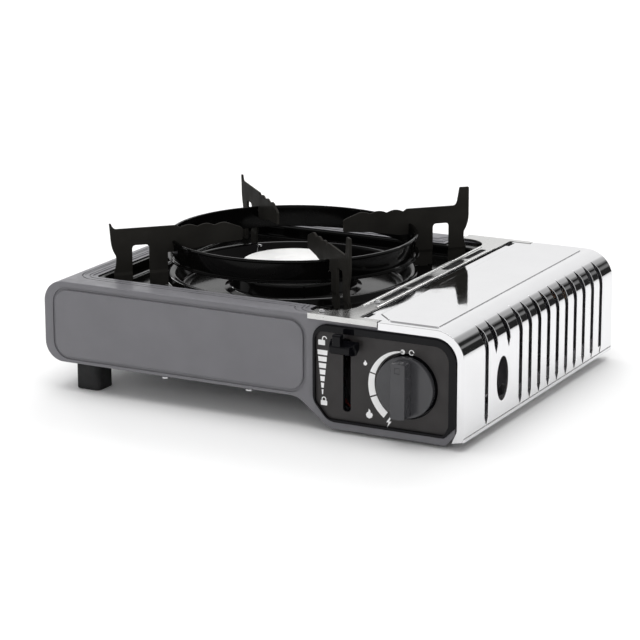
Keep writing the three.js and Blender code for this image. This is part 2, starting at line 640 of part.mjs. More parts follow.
for (const [place, x] of Object.entries(REG_SCREWS)) {
  const screw = joined(
    rod('y', x, REG_SCREW_Z, 3, BRACKET_Y - GAP - 1.8, BRACKET_Y - GAP, 5),
    rod('y', x, REG_SCREW_Z, 1.5, BRACKET_Y - GAP - 0.2, REG_FRONT + 4, 4),
  );
  add(`regulator_screw_${place}`, screw, FINISH.steel);
}

const coverX = DIAPHRAGM.x - GAP;
const cover = joined(
  rod('x', DIAPHRAGM.y, AXIS_Z, 12.6, coverX - 3, coverX, 10),
  rod('x', DIAPHRAGM.y, AXIS_Z, 10, coverX - 6, coverX - 2.5, 10),
  rod('x', DIAPHRAGM.y, AXIS_Z, 4, coverX - 9, coverX - 5.5, 6),
);
add('diaphragm_cover', cover, FINISH.zincSteel);

const COLLAR_BACK = -80;
const collar = cut(
  joined(
    rod('y', AXIS_X, AXIS_Z, 13.5, REG_BACK + GAP, COLLAR_BACK, 10),
    plate(rectangle(AXIS_X - 2, AXIS_X + 2, AXIS_Z + 12, AXIS_Z + 18), 'y', REG_BACK + GAP, COLLAR_BACK),
  ),
  rod('y', AXIS_X, AXIS_Z, 7.3, -90, -70, 8),
);
add('cartridge_collar', collar, FINISH.brass);
const seal = cut(rod('y', AXIS_X, AXIS_Z, 7, -85.4, -81.5, 8), rod('y', AXIS_X, AXIS_Z, 3.5, -90, -70, 6));
add('cartridge_seal', seal, FINISH.rubber);

const gasTube = wire(
  [[109.7, OUTLET.y, OUTLET.z], [100, OUTLET.y, OUTLET.z], [88, -92.5, 24], [76, -92, 24], [64, -80, 33],
    [60, -60, 42], [62, -30, 49], [62, -10, MIXER.z], [56, 0, MIXER.z], [47.4, 0, MIXER.z]],
  2.4, 22, 6,
);
add('gas_tube', gasTube, FINISH.copper);

// ---------- ignition ----------
const PLUNGER_TOP = AXIS_Z - CAM.reach + 5 - GAP;
const IGNITER = { front: -129.8, back: -117, top: 18 };
const PLUNGER_Y = (CAM.front + CAM.back) / 2;
const igniterBody = joined(
  block(AXIS_X - 8, AXIS_X + 8, IGNITER.front, IGNITER.back, TRAY_TOP + GAP, IGNITER.top),
  block(AXIS_X - 11, AXIS_X + 11, IGNITER.front, IGNITER.back, TRAY_TOP + GAP, TRAY_TOP + GAP + 2),
);
const plungerWell = rod('z', AXIS_X, PLUNGER_Y, 4.3, IGNITER.top - 7, IGNITER.top + 3, 6);
add('igniter_body', cut(igniterBody, plungerWell), FINISH.ceramic);
add('igniter_plunger', rod('z', AXIS_X, PLUNGER_Y, 4, IGNITER.top - 1.4, PLUNGER_TOP, 6), FINISH.blackPlastic);

const [electrodeX, electrodeY] = armPoint(ELECTRODE.angle, ELECTRODE.radius);
add('electrode_insulator', rod('z', electrodeX, electrodeY, 3, 54, 79, 6), FINISH.ceramic);
const sparkPoint = [...armPoint(ELECTRODE.angle, 40.5), 87.2];
const pinPath = [
  [electrodeX, electrodeY, 79 + GAP], [electrodeX, electrodeY, 84], [electrodeX + 0.8, electrodeY - 0.4, 86.5],
  sparkPoint,
];
add('electrode_pin', wire(pinPath, 0.9, 10, 6), FINISH.steel);
const electrodeClip = cut(
  block(-9, 6, -6, 6, PAN_FLOOR - 11.5, PAN_FLOOR - 10.3),
  rod('z', 0, 0, 3.3, PAN_FLOOR - 14, PAN_FLOOR - 8, 6),
);
const turnedClip = electrodeClip.rotate([0, 0, ELECTRODE.angle]).translate([electrodeX, electrodeY, 0]);
add('electrode_clip', turnedClip, FINISH.zincSteel);

// The insulated lead runs whole from the igniter to the electrode, clipped along the base.
const lead = wire(
  [[AXIS_X - 8.4, -123, 12], [110, -123.5, 11], [98, -122, 10], [90, -116, 10], [80, -111, 11], [68, -111, 15],
    [58, -108, 27], [44, -100, 32], [20, -88, 30], [-20, -76, 29], [-60, -56, 29], [-80, -30, 30], [-86, 0, 34],
    [-80, 14, 42], [electrodeX, electrodeY, 50], [electrodeX, electrodeY, 53.6]],
  1.3, 34, 5,
);
add('ignition_lead', lead, FINISH.leadRed);

// ---------- locking lever and cartridge fork ----------
// The lever turns about a pin along X behind the panel; its tab travels down the panel's slot.
const LEVER_X = [78.9, 80.9];
function leverPlate() {
  const arm = plate(
    outline([[-68, -3, 1], [6, -4.5, 4], [6, 5, 4], [-68, 0.4, 1]]), 'x', LEVER_X[0], LEVER_X[1], 3);
  const angle = THREE.MathUtils.radToDeg(LEVER.rest);
  const placed = arm.rotate([-angle, 0, 0]);
  const crankY = LEVER.crank * Math.sin(LEVER.rest);
  const crankZ = LEVER.crank * Math.cos(LEVER.rest);
  const crank = joined(
    plate(outline([[-4.5, 0, 1], [4.5, 0, 1], [crankY + 3, crankZ + 3, 2.5], [crankY - 3, crankZ + 3, 2.5]]),
      'x', LEVER_X[0], LEVER_X[1], 3),
    rod('x', crankY, crankZ, 1.6, LEVER_X[0], 90.5, 5),
  );
  const whole = joined(placed, crank).translate([0, LEVER.y, LEVER.z]);
  return cut(whole, rod('x', LEVER.y, LEVER.z, 2.3, 70, 88, 6));
}
add('lock_lever', leverPlate(), FINISH.zincSteel);

// The tab narrows towards the finger: a sloping top with an upright nub, a short lip and an undercut foot.
function makeLeverTab() {
  const { back, front, middle, backHalf, frontHalf } = TAB;
  const side = outline([
    [front, LIP.low, 1],
    [-143, LIP.low - 1.7, 1],
    [-139.8, LIP.low - 1.7],
    [back, 65],
    [back, LIP.top + 2.4],
    [front, LIP.top, 1.2],
  ]);
  const plan = outline([
    [middle - backHalf, back, 1],
    [middle - frontHalf, front, 1.5],
    [middle + frontHalf, front, 1.5],
    [middle + backHalf, back, 1],
  ]);
  const wide = plate(side, 'x', middle - backHalf, middle + backHalf, 3);
  const wedge = wide.intersect(plate(plan, 'z', 55, 80, 3));
  const nubSide = outline([
    [NUB.front, LIP.top - 2],
    [NUB.back, LIP.top - 2],
    [NUB.back, NUB.top, 1],
    [NUB.front, NUB.top, 1.6],
  ]);
  const nub = plate(nubSide, 'x', NUB.left, NUB.right, 3);
  const angle = THREE.MathUtils.radToDeg(LEVER.rest);
  const pocket = block(LEVER_X[0] - GAP, LEVER_X[1] + GAP, -68.5, -50, -3.4, 0.8)
    .rotate([-angle, 0, 0]).translate([0, LEVER.y, LEVER.z]);
  return cut(joined(wedge, nub), pocket);
}
add('lever_tab', makeLeverTab(), FINISH.blackPlastic);
add('lever_pivot_pin', rod('x', LEVER.y, LEVER.z, 2, 75, 86, 6), FINISH.steel);
const leverBracket = cut(
  joined(
    plate(rectangle(-88, -62, TRAY_TOP + GAP, 50, 4), 'x', 82.5, 84),
    block(82.5, 91, -88, -62, TRAY_TOP + GAP, TRAY_TOP + GAP + 1.5),
  ),
  rod('x', LEVER.y, LEVER.z, 2.3, 80, 90, 6),
);
add('lever_bracket', leverBracket, FINISH.zincSteel);

const FORK_Y = -70;
const crankY = LEVER.y + LEVER.crank * Math.sin(LEVER.rest);
const crankZ = LEVER.z + LEVER.crank * Math.cos(LEVER.rest);
const fork = cut(
  joined(
    plate(rectangle(88, 156, 12, 66, 3), 'y', FORK_Y, FORK_Y + 1.5),
    plate(rectangle(crankY - 5, FORK_Y + 1, crankZ - 8, crankZ + 8, 1.5), 'x', 88, 89.5),
  ),
  rod('y', AXIS_X, AXIS_Z, 16.5, FORK_Y - 3, FORK_Y + 4, 10),
  block(AXIS_X - 16.5, AXIS_X + 16.5, FORK_Y - 3, FORK_Y + 4, AXIS_Z, 80),
  plate(rectangle(crankY - 1.9, crankY + 1.9, crankZ - 4, crankZ + 4, 1.8), 'x', 80, 95, 4),
  ...guideHoles(FORK_Y - 3, FORK_Y + 4),
);
add('cartridge_fork', fork, FINISH.zincSteel);
for (const [place, x] of Object.entries(GUIDE_RODS)) {
  add(`guide_rod_${place}`, rod('y', x, GUIDE_Z, 1.6, BRACKET_Y - 1.5, -52, 5), FINISH.steel);
}

// ---------- lid over the cartridge ----------
function lidOutline(inset, left = LID_LEFT, low = LID_LOW) {
  return outline([
    [left, low],
    [RIGHT - inset, low],
    [RIGHT - inset, LID_TOP - inset, LID_RADIUS - inset],
    [left, LID_TOP - inset],
  ]);
}

function makeLid() {
  const half = DEPTH / 2;
  const inside = lidOutline(LID_SHEET, LID_LEFT - 5, LID_LOW - 5);
  const skin = cut(plate(lidOutline(0), 'y', -half, half, 4), plate(inside, 'y', -half - 1, half + 1, 4));
  const rimOuter = outline([
    [LID_SEAM, LID_TOP - LID_RIM],
    [RIGHT - LID_RIM, LID_TOP - LID_RIM, LID_RADIUS - LID_RIM],
    [RIGHT - LID_RIM, LID_LOW + 7],
    [RIGHT - LID_RIM - 4, LID_LOW - 1.6],
    [RIGHT - 2, LID_LOW, 1],
    [RIGHT - 0.1, LID_LOW + 3],
    [RIGHT - 0.1, LID_TOP - 0.1, LID_RADIUS - 0.1],
    [LID_SEAM, LID_TOP - 0.1],
  ]);
  const rims = [-1, 1].map((side) => plate(rimOuter, 'y', side * half, side * (half - LID_SHEET), 4));
  const panel = outline([
    [97, -115],
    [111, -129],
    [147.5, -129],
    [147.5, 125],
    [111, 125],
    [97, 111],
  ]);
  const corners = [-1, 1].map((side) => {
    const y = side * (half - 3);
    return block(LID_LEFT - 1, LID_SEAM, y - 3.5, y + 3.5, 70, 90);
  });
  const eyeNotches = [-1, 1].map((side) => {
    const y = side * HINGE.y;
    return block(LID_LEFT - 1, HINGE.x + 0.9, y - HINGE.notch, y + HINGE.notch, 70, 90);
  });
  const hemBar = block(RIGHT - 2, RIGHT - 0.5, -half + 0.5, half - 0.5, LID_LOW, LID_LOW + 3);
  const longCuts = LONG_SLOTS.map((y) => slotTool(y, 12));
  const shortCuts = SHORT_SLOTS.map((y) => slotTool(y, 60));
  const oval = new THREE.Shape();
  oval.absellipse(-70.5, 36.5, 10, 16, 0, Math.PI * 2, false, 0);
  return cut(
    joined(skin, ...rims, plate(panel, 'z', LID_TOP - 0.5, LID_TOP + 0.8), hemBar),
    ...longCuts,
    ...shortCuts,
    ...corners,
    ...eyeNotches,
    plate(oval, 'x', RIGHT - 4, RIGHT + 2, 8),
  );
}

// A vent slot pointed at both ends, cut straight in from the right through the wall and the rounded edge.
function slotTool(y, low) {
  const top = LID_TOP - 4;
  const half = 3.1;
  const shape = new THREE.Shape();
  shape.moveTo(y, low - 3);
  shape.lineTo(y + half, low + 3);
  shape.lineTo(y + half, top - 5);
  shape.lineTo(y, top);
  shape.lineTo(y - half, top - 5);
  shape.lineTo(y - half, low + 3);
  shape.closePath();
  return plate(shape, 'x', RIGHT - 15, RIGHT + 2);
}
add('lid', makeLid(), FINISH.chrome);

for (const [place, side] of [['front', -1], ['rear', 1]]) {
  const y = side * HINGE.y;
  const eye = (from, to) => rod('y', HINGE.x, HINGE.z, 2.2, from, to, 6);
  const bore = rod('y', HINGE.x, HINGE.z, 1.7, y - 12, y + 12, 5);
  const leaf = rectangle(HINGE.x + 1, 104, HINGE.z - 1.8, HINGE.z + 2.2);
  const lug = joined(eye(y - 1.5, y + 1.5), plate(leaf, 'y', y - 1.5, y + 1.5));
  add(`lid_lug_${place}`, cut(lug, bore), FINISH.zincSteel);
  const mount = SHIELD.x + 1 + GAP;
  const cheeks = [y + 3, y - 4.5].flatMap((from) => [
    eye(from, from + 1.5),
    plate(rectangle(mount, HINGE.x + 2, 66, HINGE.z), 'y', from, from + 1.5),
  ]);
  const cheek = joined(...cheeks, block(mount, SHIELD.x + 2.5, y - 4.5, y + 4.5, 66, 74));
  add(`hinge_bracket_${place}`, cut(cheek, bore), FINISH.zincSteel);
  add(`hinge_pin_${place}`, rod('y', HINGE.x, HINGE.z, 1.4, y - 5.5, y + 5.5, 5), FINISH.steel);
}

// The origin lies under the middle of the whole stove, knob included.
for (const mesh of stove.children) mesh.geometry.translate(0, FORWARD, 0);

export default stove;
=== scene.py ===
"""Portable single-burner camping stove for a gas cartridge, on a pale studio floor.

Shapes are worked out in millimetres, +Z up, +X towards the cartridge lid and -Y towards the cook, and turned into
metres when a piece is finished.
"""

import json
from math import atan2, cos, pi, radians, sin, tan

import bmesh
import bpy
from mathutils import Matrix, Vector


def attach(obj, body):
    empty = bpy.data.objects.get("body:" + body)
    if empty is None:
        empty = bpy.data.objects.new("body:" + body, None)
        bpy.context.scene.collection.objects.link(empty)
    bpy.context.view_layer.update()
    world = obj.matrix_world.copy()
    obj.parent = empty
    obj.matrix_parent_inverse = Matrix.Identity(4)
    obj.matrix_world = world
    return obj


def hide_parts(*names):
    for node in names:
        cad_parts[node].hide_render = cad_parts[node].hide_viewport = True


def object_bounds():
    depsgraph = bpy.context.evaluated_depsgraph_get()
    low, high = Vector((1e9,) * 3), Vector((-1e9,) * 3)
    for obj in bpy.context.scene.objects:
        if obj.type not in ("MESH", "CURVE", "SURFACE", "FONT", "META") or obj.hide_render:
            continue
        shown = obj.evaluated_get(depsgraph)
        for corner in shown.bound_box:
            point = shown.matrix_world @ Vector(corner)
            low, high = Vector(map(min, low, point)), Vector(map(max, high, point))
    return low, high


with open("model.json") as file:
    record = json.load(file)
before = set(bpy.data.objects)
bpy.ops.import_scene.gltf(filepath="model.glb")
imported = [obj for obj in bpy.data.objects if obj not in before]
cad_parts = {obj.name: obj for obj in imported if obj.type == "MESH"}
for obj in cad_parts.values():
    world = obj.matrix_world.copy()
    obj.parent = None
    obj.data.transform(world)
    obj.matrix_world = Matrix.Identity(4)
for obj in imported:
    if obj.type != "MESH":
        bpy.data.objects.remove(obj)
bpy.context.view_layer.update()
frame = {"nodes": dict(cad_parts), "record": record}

MM = 0.001
FORWARD = 7.5
LEFT = -170.0
RIGHT = 170.0
BODY_Y = 133.5
BODY_RIGHT = 163.0
BODY_TOP = 83.0
BODY_LOW = 22.0
TRAY_LOW = 2.0
SHEET = 1.2
GAP = 0.3
BURNER_X = -34.0
PAN_FLOOR = 72.0
RIM_TOP = BODY_TOP - SHEET - 0.4
RING_RADIUS = 93.6
RING_TOP = 105.6
RING_LOW = 89.0
ARM_THICK = 1.8
ARM_TOP = 117.0
CAP_TOP = 84.6
AXIS_X = 126.4
AXIS_Z = 41.0
PANEL_FACE = -136.0
PANEL_INNER = -133.0
RECESS = PANEL_INNER - 0.9
RAIL_RIGHT = 86.9
TRIM_TOP = BODY_TOP + GAP
LID_LEFT = 89.6
LID_TOP = 84.0
LID_LOW = 6.5
LID_SHEET = 1.0
LID_RADIUS = 22.0
LID_RIM = 5.5
LID_SEAM = 104.2
HINGE_Y = 120.0
LEVER_Y = -75.0
LEVER_Z = 43.0
LEVER_REST = radians(20.5)
# Rounding of edges: faces this flat are merged first, and a solid whose area grows by more keeps its plain edges.
FLAT_ANGLE = radians(0.4)
AREA_GROWTH = 1.004
SHARP_ANGLE = 33.0
SHARP_ANGLE_ROUNDED = 50
# Left, right, low and high edge, corner radius and corner steps of the raised field on the front and its groove.
FIELD = (-160, 45.5, 27, 77, 11, 12)
GROOVE = (-162.4, 47.9, 24.6, 79.4, 13.4, 12)
TRIM_END = 103.5
TRIM_LIP = 134.9
KNOB_BACK = -134.5
KNOB_FACE = -138.1
KNOB_RADIUS = 21.7
GRIP_HALF = 5.5
GRIP_LENGTH = 25
GRIP_RADIUS = 19.9
# Left, right and half depth of the drip pan, at its wall and at its rim.
PAN_WALL = (-140.4, 72.4, 105.4)
PAN_RIM = (-145, 77, 122)
PAN_WELL = 97
# Distances from the burner's axis: the slots for the arms' feet, and the arms' outer and inner legs.
FOOT_SLOTS = (104, 131)
LEGS = ((124, 138), (97, 111))
# Left, right, low and high edge of the control panel.
PANEL_EDGE = (53.6, 164.1, 7.8, 78.1)
LEVER_SLOT = (77.2, 82.8, 16.8, 69.2, 2)
LID_HALF = 135.0
# The vents in the lid along y: one alone, ten in a row and two short ones; then the oval window's y, z and half axes.
VENT_ALONE = -97.5
VENT_FIRST = -39
VENT_PITCH = 16.75
VENTS_SHORT = (-82, -60.5)
OVAL_WINDOW = (-70.5, 36.5, 10, 16)
WEDGE_X = 60.9
WEDGE_TOP = 57.0
WEDGE_PITCH = 4.75
SPARK = (112.6, 13.4, 6)
OFF_RING = (129.6, 65.4, 2.0, 1.35)
KEPT_WELD = 1e-5
KEPT_BEVEL = 0.25
KEPT_ANGLE = radians(40)
# The photo's camera, in metres.
CAMERA_AT = (0.88957, -1.70676, 0.55570)
CAMERA_AIM = (-0.01127, 0.00725, 0.03979)
CAMERA_ROLL = radians(-0.115)
CAMERA_LENS = 149.8
ARM_ANGLES = {"front_right": -45, "rear_right": 45, "rear_left": 135, "front_left": 225}


# ---------- shapes ----------
def outline(corners, steps=8):
    """Points of a closed outline from corners (u, v, radius); no radius leaves a corner sharp."""
    points = []
    for i, corner in enumerate(corners):
        here = Vector(corner[:2])
        radius = corner[2] if len(corner) > 2 else 0
        if radius <= 0:
            points.append(here)
            continue
        before = (Vector(corners[i - 1][:2]) - here).normalized()
        after = (Vector(corners[(i + 1) % len(corners)][:2]) - here).normalized()
        half = before.angle(after) / 2
        start = here + before * (radius / tan(half))
        end = here + after * (radius / tan(half))
        centre = here + (before + after).normalized() * (radius / sin(half))
        first = atan2(start.y - centre.y, start.x - centre.x)
        last = atan2(end.y - centre.y, end.x - centre.x)
        sweep = (last - first + pi) % (2 * pi) - pi
        for k in range(steps + 1):
            angle = first + sweep * k / steps
            points.append(centre + radius * Vector((cos(angle), sin(angle))))
    return points


def rectangle(u0, u1, v0, v1, radius=0.0, steps=8):
    return outline([(u0, v0, radius), (u1, v0, radius), (u1, v1, radius), (u0, v1, radius)], steps)


def circle(u, v, radius, steps=64):
    angles = [2 * pi * k / steps for k in range(steps)]
    return [Vector((u + radius * cos(a), v + radius * sin(a))) for a in angles]


def curve_points(start, control, end, steps=8):
    """Points along a quadratic curve after its start."""
    a, b, c = Vector(start), Vector(control), Vector(end)
    shares = [k / steps for k in range(1, steps + 1)]
    return [(1 - t) ** 2 * a + 2 * t * (1 - t) * b + t * t * c for t in shares]


def to_object(bm, name="work"):
    bmesh.ops.recalc_face_normals(bm, faces=bm.faces)
    mesh = bpy.data.meshes.new(name)
    bm.to_mesh(mesh)
    bm.free()
    obj = bpy.data.objects.new(name, mesh)
    bpy.context.collection.objects.link(obj)
    return obj


PLACE = {
    "x": lambda u, v, w: (w, u, v),
    "y": lambda u, v, w: (u, w, v),
    "z": lambda u, v, w: (u, v, w),
}


def prism(points, axis, start, end, rim=0.0, rim_steps=4, rims=(True, True)):
    """A closed plate across an axis; its two rims may be rounded over."""
    low, high = sorted((start, end))
    bm = bmesh.new()
    place = PLACE[axis]
    lower = [bm.verts.new(place(p[0], p[1], low)) for p in points]
    upper = [bm.verts.new(place(p[0], p[1], high)) for p in points]
    bm.faces.new(lower)
    bm.faces.new(upper)
    count = len(points)
    lower_edges = []
    upper_edges = []
    for i in range(count):
        j = (i + 1) % count
        bm.faces.new((lower[i], lower[j], upper[j], upper[i]))
        lower_edges.append(bm.edges.get((lower[i], lower[j])))
        upper_edges.append(bm.edges.get((upper[i], upper[j])))
    if rim:
        chosen = (lower_edges if rims[0] else []) + (upper_edges if rims[1] else [])
        bmesh.ops.recalc_face_normals(bm, faces=bm.faces)
        bmesh.ops.bevel(
            bm, geom=chosen, offset=rim, offset_type="OFFSET", segments=rim_steps, profile=0.5,
            affect="EDGES", clamp_overlap=False)
    return to_object(bm)


def block(x0, x1, y0, y1, z0, z1):
    return prism(rectangle(x0, x1, y0, y1), "z", z0, z1)


def rod(axis, u, v, radius, start, end, steps=48, rim=0.0):
    return prism(circle(u, v, radius, steps), axis, start, end, rim, 3)


def turned(profile, x=BURNER_X, y=0.0, steps=120):
    """A turned piece about a vertical axis, from its closed profile of (radius, z)."""
    bm = bmesh.new()
    rings = []
    for radius, z in profile:
        if radius < 1e-6:
            rings.append([bm.verts.new((x, y, z))])
            continue
        rings.append([
            bm.verts.new((x + radius * cos(2 * pi * k / steps), y + radius * sin(2 * pi * k / steps), z))
            for k in range(steps)])
    for i, ring in enumerate(rings):
        following = rings[(i + 1) % len(rings)]
        if len(ring) == 1 and len(following) == 1:
            continue
        for k in range(steps):
            m = (k + 1) % steps
            if len(ring) == 1:
                bm.faces.new((ring[0], following[m], following[k]))
            elif len(following) == 1:
                bm.faces.new((ring[k], ring[m], following[0]))
            else:
                bm.faces.new((ring[k], ring[m], following[m], following[k]))
    return to_object(bm)


def bake(obj):
    bpy.context.view_layer.update()
    graph = bpy.context.evaluated_depsgraph_get()
    mesh = bpy.data.meshes.new_from_object(obj.evaluated_get(graph))
    obj.modifiers.clear()
    old = obj.data
    obj.data = mesh
    bpy.data.meshes.remove(old)
    return obj


def combine(operation, base, tools):
    for tool in tools:
        modifier = base.modifiers.new("solid", "BOOLEAN")
        modifier.operation = operation
        modifier.solver = "MANIFOLD"
        modifier.object = tool
    bake(base)
    for tool in tools:
        bpy.data.objects.remove(tool)
    return base


def cut(base, *tools):
    return combine("DIFFERENCE", base, tools)


def joined(base, *tools):
    return combine("UNION", base, tools)


def common(base, *tools):
    return combine("INTERSECT", base, tools)


def turn_about_z(obj, angle, x=BURNER_X, y=0.0):
    obj.data.transform(Matrix.Translation((x, y, 0)) @ Matrix.Rotation(radians(angle), 4, "Z"))
    return obj


def surface_area(obj):
    obj.data.calc_loop_triangles()
    return sum(triangle.area for triangle in obj.data.loop_triangles)


def round_edges(obj, width, segments, sharp):
    """Bevels the sharp edges, unless the area then grows too much, a sign that thin faces have folded over."""
    plain = obj.data.copy()
    area = surface_area(obj)
    bm = bmesh.new()
    bm.from_mesh(obj.data)
    bmesh.ops.dissolve_limit(bm, angle_limit=FLAT_ANGLE, verts=bm.verts, edges=bm.edges)
    bm.to_mesh(obj.data)
    bm.free()
    edge = obj.modifiers.new("edge", "BEVEL")
    edge.width = width
    edge.segments = segments
    edge.limit_method = "ANGLE"
    edge.angle_limit = radians(sharp)
    edge.use_clamp_overlap = False
    edge.harden_normals = True
    bake(obj)
    if surface_area(obj) > AREA_GROWTH * area:
        obj.data = plain
        return False
    return True


def piece(obj, name, finish, body, replaces=(), bevel=0.3, segments=2, sharp=SHARP_ANGLE):
    """Rounds a solid's edges, gives it its finish and ties it to a body of the frame."""
    bm = bmesh.new()
    bm.from_mesh(obj.data)
    bmesh.ops.remove_doubles(bm, verts=bm.verts, dist=1e-4)
    bm.to_mesh(obj.data)
    bm.free()
    obj.data.shade_smooth()
    obj.data.set_sharp_from_angle(angle=radians(sharp))
    if bevel and round_edges(obj, bevel, segments, sharp):
        obj.data.set_sharp_from_angle(angle=radians(SHARP_ANGLE_ROUNDED))
    elif bevel:
        print("kept plain edges:", name)
    weight = obj.modifiers.new("weight", "WEIGHTED_NORMAL")
    weight.keep_sharp = True
    bake(obj)
    obj.data.transform(Matrix.Scale(MM, 4) @ Matrix.Translation((0, FORWARD, 0)))
    obj.name = name
    obj.data.name = name
    obj.data.materials.clear()
    obj.data.materials.append(finish)
    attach(obj, body)
    if replaces:
        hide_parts(*replaces)
    return obj


# ---------- finishes ----------
def set_input(node, name, value):
    if name in node.inputs:
        node.inputs[name].default_value = value


def finish_of(
        name, base, rough, metallic=0.0, specular=0.5, coat=0.0, coat_rough=0.05, mottle=0.06,
        mottle_scale=40.0, rough_vary=0.06, grain=0.0, grain_scale=1500.0, wave=0.0, wave_scale=12.0,
        stretch=(1, 1, 1)):
    """A procedural finish: colour and gloss wander a little, with a fine grain and a gentle waviness."""
    material = bpy.data.materials.new(name)
    material.use_nodes = True
    tree = material.node_tree
    shader = tree.nodes["Principled BSDF"]
    set_input(shader, "Metallic", metallic)
    set_input(shader, "Specular IOR Level", specular)
    set_input(shader, "Coat Weight", coat)
    set_input(shader, "Coat Roughness", coat_rough)
    place = tree.nodes.new("ShaderNodeTexCoord")
    mapping = tree.nodes.new("ShaderNodeMapping")
    mapping.inputs["Scale"].default_value = stretch
    tree.links.new(place.outputs["Object"], mapping.inputs["Vector"])

    def noise(scale, detail, stretched=False):
        node = tree.nodes.new("ShaderNodeTexNoise")
        node.inputs["Scale"].default_value = scale
        node.inputs["Detail"].default_value = detail
        source = mapping.outputs["Vector"] if stretched else place.outputs["Object"]
        tree.links.new(source, node.inputs["Vector"])
        return node.outputs["Fac"]

    def spread(factor, low, high):
        node = tree.nodes.new("ShaderNodeMapRange")
        node.inputs["From Min"].default_value = 0.3
        node.inputs["From Max"].default_value = 0.7
        node.inputs["To Min"].default_value = low
        node.inputs["To Max"].default_value = high
        tree.links.new(factor, node.inputs["Value"])
        return node.outputs["Result"]

    ramp = tree.nodes.new("ShaderNodeValToRGB")
    ramp.color_ramp.elements[0].position = 0.3
    ramp.color_ramp.elements[1].position = 0.7
    ramp.color_ramp.elements[0].color = (*[max(c * (1 - mottle), 0) for c in base], 1)
    ramp.color_ramp.elements[1].color = (*[min(c * (1 + mottle), 1) for c in base], 1)
    tree.links.new(noise(mottle_scale, 4, True), ramp.inputs["Fac"])
    tree.links.new(ramp.outputs["Color"], shader.inputs["Base Color"])
    low = max(rough * (1 - rough_vary * 4), 0.01)
    high = min(rough * (1 + rough_vary * 4), 1)
    tree.links.new(spread(noise(90, 6, True), low, high), shader.inputs["Roughness"])

    normal = None
    for height, scale, detail in ((wave, wave_scale, 1), (grain, grain_scale, 3)):
        if not height:
            continue
        bump = tree.nodes.new("ShaderNodeBump")
        bump.inputs["Strength"].default_value = 1.0
        bump.inputs["Distance"].default_value = height * MM
        tree.links.new(noise(scale, detail, True), bump.inputs["Height"])
        if normal is not None:
            tree.links.new(normal, bump.inputs["Normal"])
        normal = bump.outputs["Normal"]
    if normal is not None:
        tree.links.new(normal, shader.inputs["Normal"])
    return material


GREY = finish_of(
    "grey_paint", (0.158, 0.156, 0.168), 0.42, specular=0.3, coat=0.12, coat_rough=0.22, mottle=0.05,
    grain=0.02, grain_scale=1300)
ENAMEL = finish_of(
    "black_enamel", (0.0024, 0.0023, 0.0022), 0.1, specular=0.09, mottle=0.3, grain=0.003, grain_scale=900,
    wave=0.04, wave_scale=30)
CHROME = finish_of(
    "chrome", (0.8, 0.8, 0.81), 0.055, metallic=1, mottle=0.015, rough_vary=0.1, wave=0.03, wave_scale=14,
    grain=0.0006, grain_scale=2500)
MIRROR = finish_of("mirror_sheet", (0.8, 0.8, 0.81), 0.03, metallic=1, mottle=0.02, wave=0.08, wave_scale=22)
SATIN = finish_of(
    "satin_chrome", (0.62, 0.62, 0.61), 0.24, metallic=1, mottle=0.03, grain=0.002, grain_scale=1800,
    stretch=(1, 0.08, 1))
ALUMINIUM = finish_of(
    "aluminium", (0.95, 0.95, 0.94), 0.42, metallic=0.5, mottle=0.025, grain=0.004, grain_scale=1400)
ZINC = finish_of(
    "zinc_steel", (0.5, 0.5, 0.51), 0.36, metallic=1, mottle=0.16, mottle_scale=220, grain=0.004, stretch=(1, 1, 0.3))
STEEL = finish_of("steel", (0.58, 0.58, 0.59), 0.22, metallic=1, mottle=0.06, grain=0.003)
BRASS = finish_of("brass", (0.72, 0.5, 0.18), 0.24, metallic=1, mottle=0.1, grain=0.003)
COPPER = finish_of("copper", (0.72, 0.34, 0.2), 0.3, metallic=1, mottle=0.16, mottle_scale=120, grain=0.003)
GLOSS = finish_of(
    "black_plastic", (0.003, 0.003, 0.004), 0.07, specular=0.16, mottle=0.15, grain=0.002, grain_scale=1200,
    wave=0.02, wave_scale=40)
PANEL = finish_of(
    "panel_plastic", (0.022, 0.0195, 0.0195), 0.42, specular=0.4, mottle=0.1, grain=0.006, grain_scale=2600)
KNOB = finish_of(
    "knob_plastic", (0.045, 0.045, 0.049), 0.22, specular=0.5, mottle=0.08, grain=0.003, grain_scale=2200)
RUBBER = finish_of("rubber", (0.014, 0.014, 0.0145), 0.72, specular=0.3, mottle=0.15, grain=0.02, grain_scale=1600)
CERAMIC = finish_of("ceramic", (0.84, 0.82, 0.76), 0.28, coat=0.4, mottle=0.04, grain=0.004)
LEAD = finish_of("lead_red", (0.32, 0.035, 0.022), 0.45, mottle=0.08, grain=0.006)
INK = finish_of("white_ink", (0.86, 0.86, 0.86), 0.4, mottle=0.02, grain=0.002)
ARM = finish_of(
    "black_arm_enamel", (0.022, 0.021, 0.019), 0.34, specular=0.004, mottle=0.2, grain=0.004, grain_scale=900)
# Near-black finish for painted shade: the thin sheet under the trim's vents, which makes the vent slots look dark.
PAINTED_SHADE = finish_of("painted_shade_black", (0.01, 0.01, 0.011), 0.6, specular=0.1, mottle=0.1, grain=0.003)

SLOT_FINISH = {
    "grey_paint": GREY, "black_enamel": ENAMEL, "chrome": CHROME, "aluminium": ALUMINIUM, "zinc_steel": ZINC,
    "steel": STEEL, "brass": BRASS, "copper": COPPER, "black_plastic": GLOSS, "panel_plastic": PANEL,
    "knob_plastic": KNOB, "rubber": RUBBER, "ceramic": CERAMIC, "lead_red": LEAD,
}


# ---------- body ----------
def body_outline(inset):
    low = BODY_LOW + inset
    tray = TRAY_LOW + inset
    right = BODY_RIGHT - inset
    return outline([
        (LEFT + inset, low, 15 - inset),
        (40, low, 16 + inset),
        (66 - inset, tray, 14 - inset),
        (right - 8, tray, 3),
        (right, tray + 8, 3),
        (right, BODY_TOP - inset, 18 - inset),
        (LEFT + inset, BODY_TOP - inset, 16 - inset),
    ], 12)


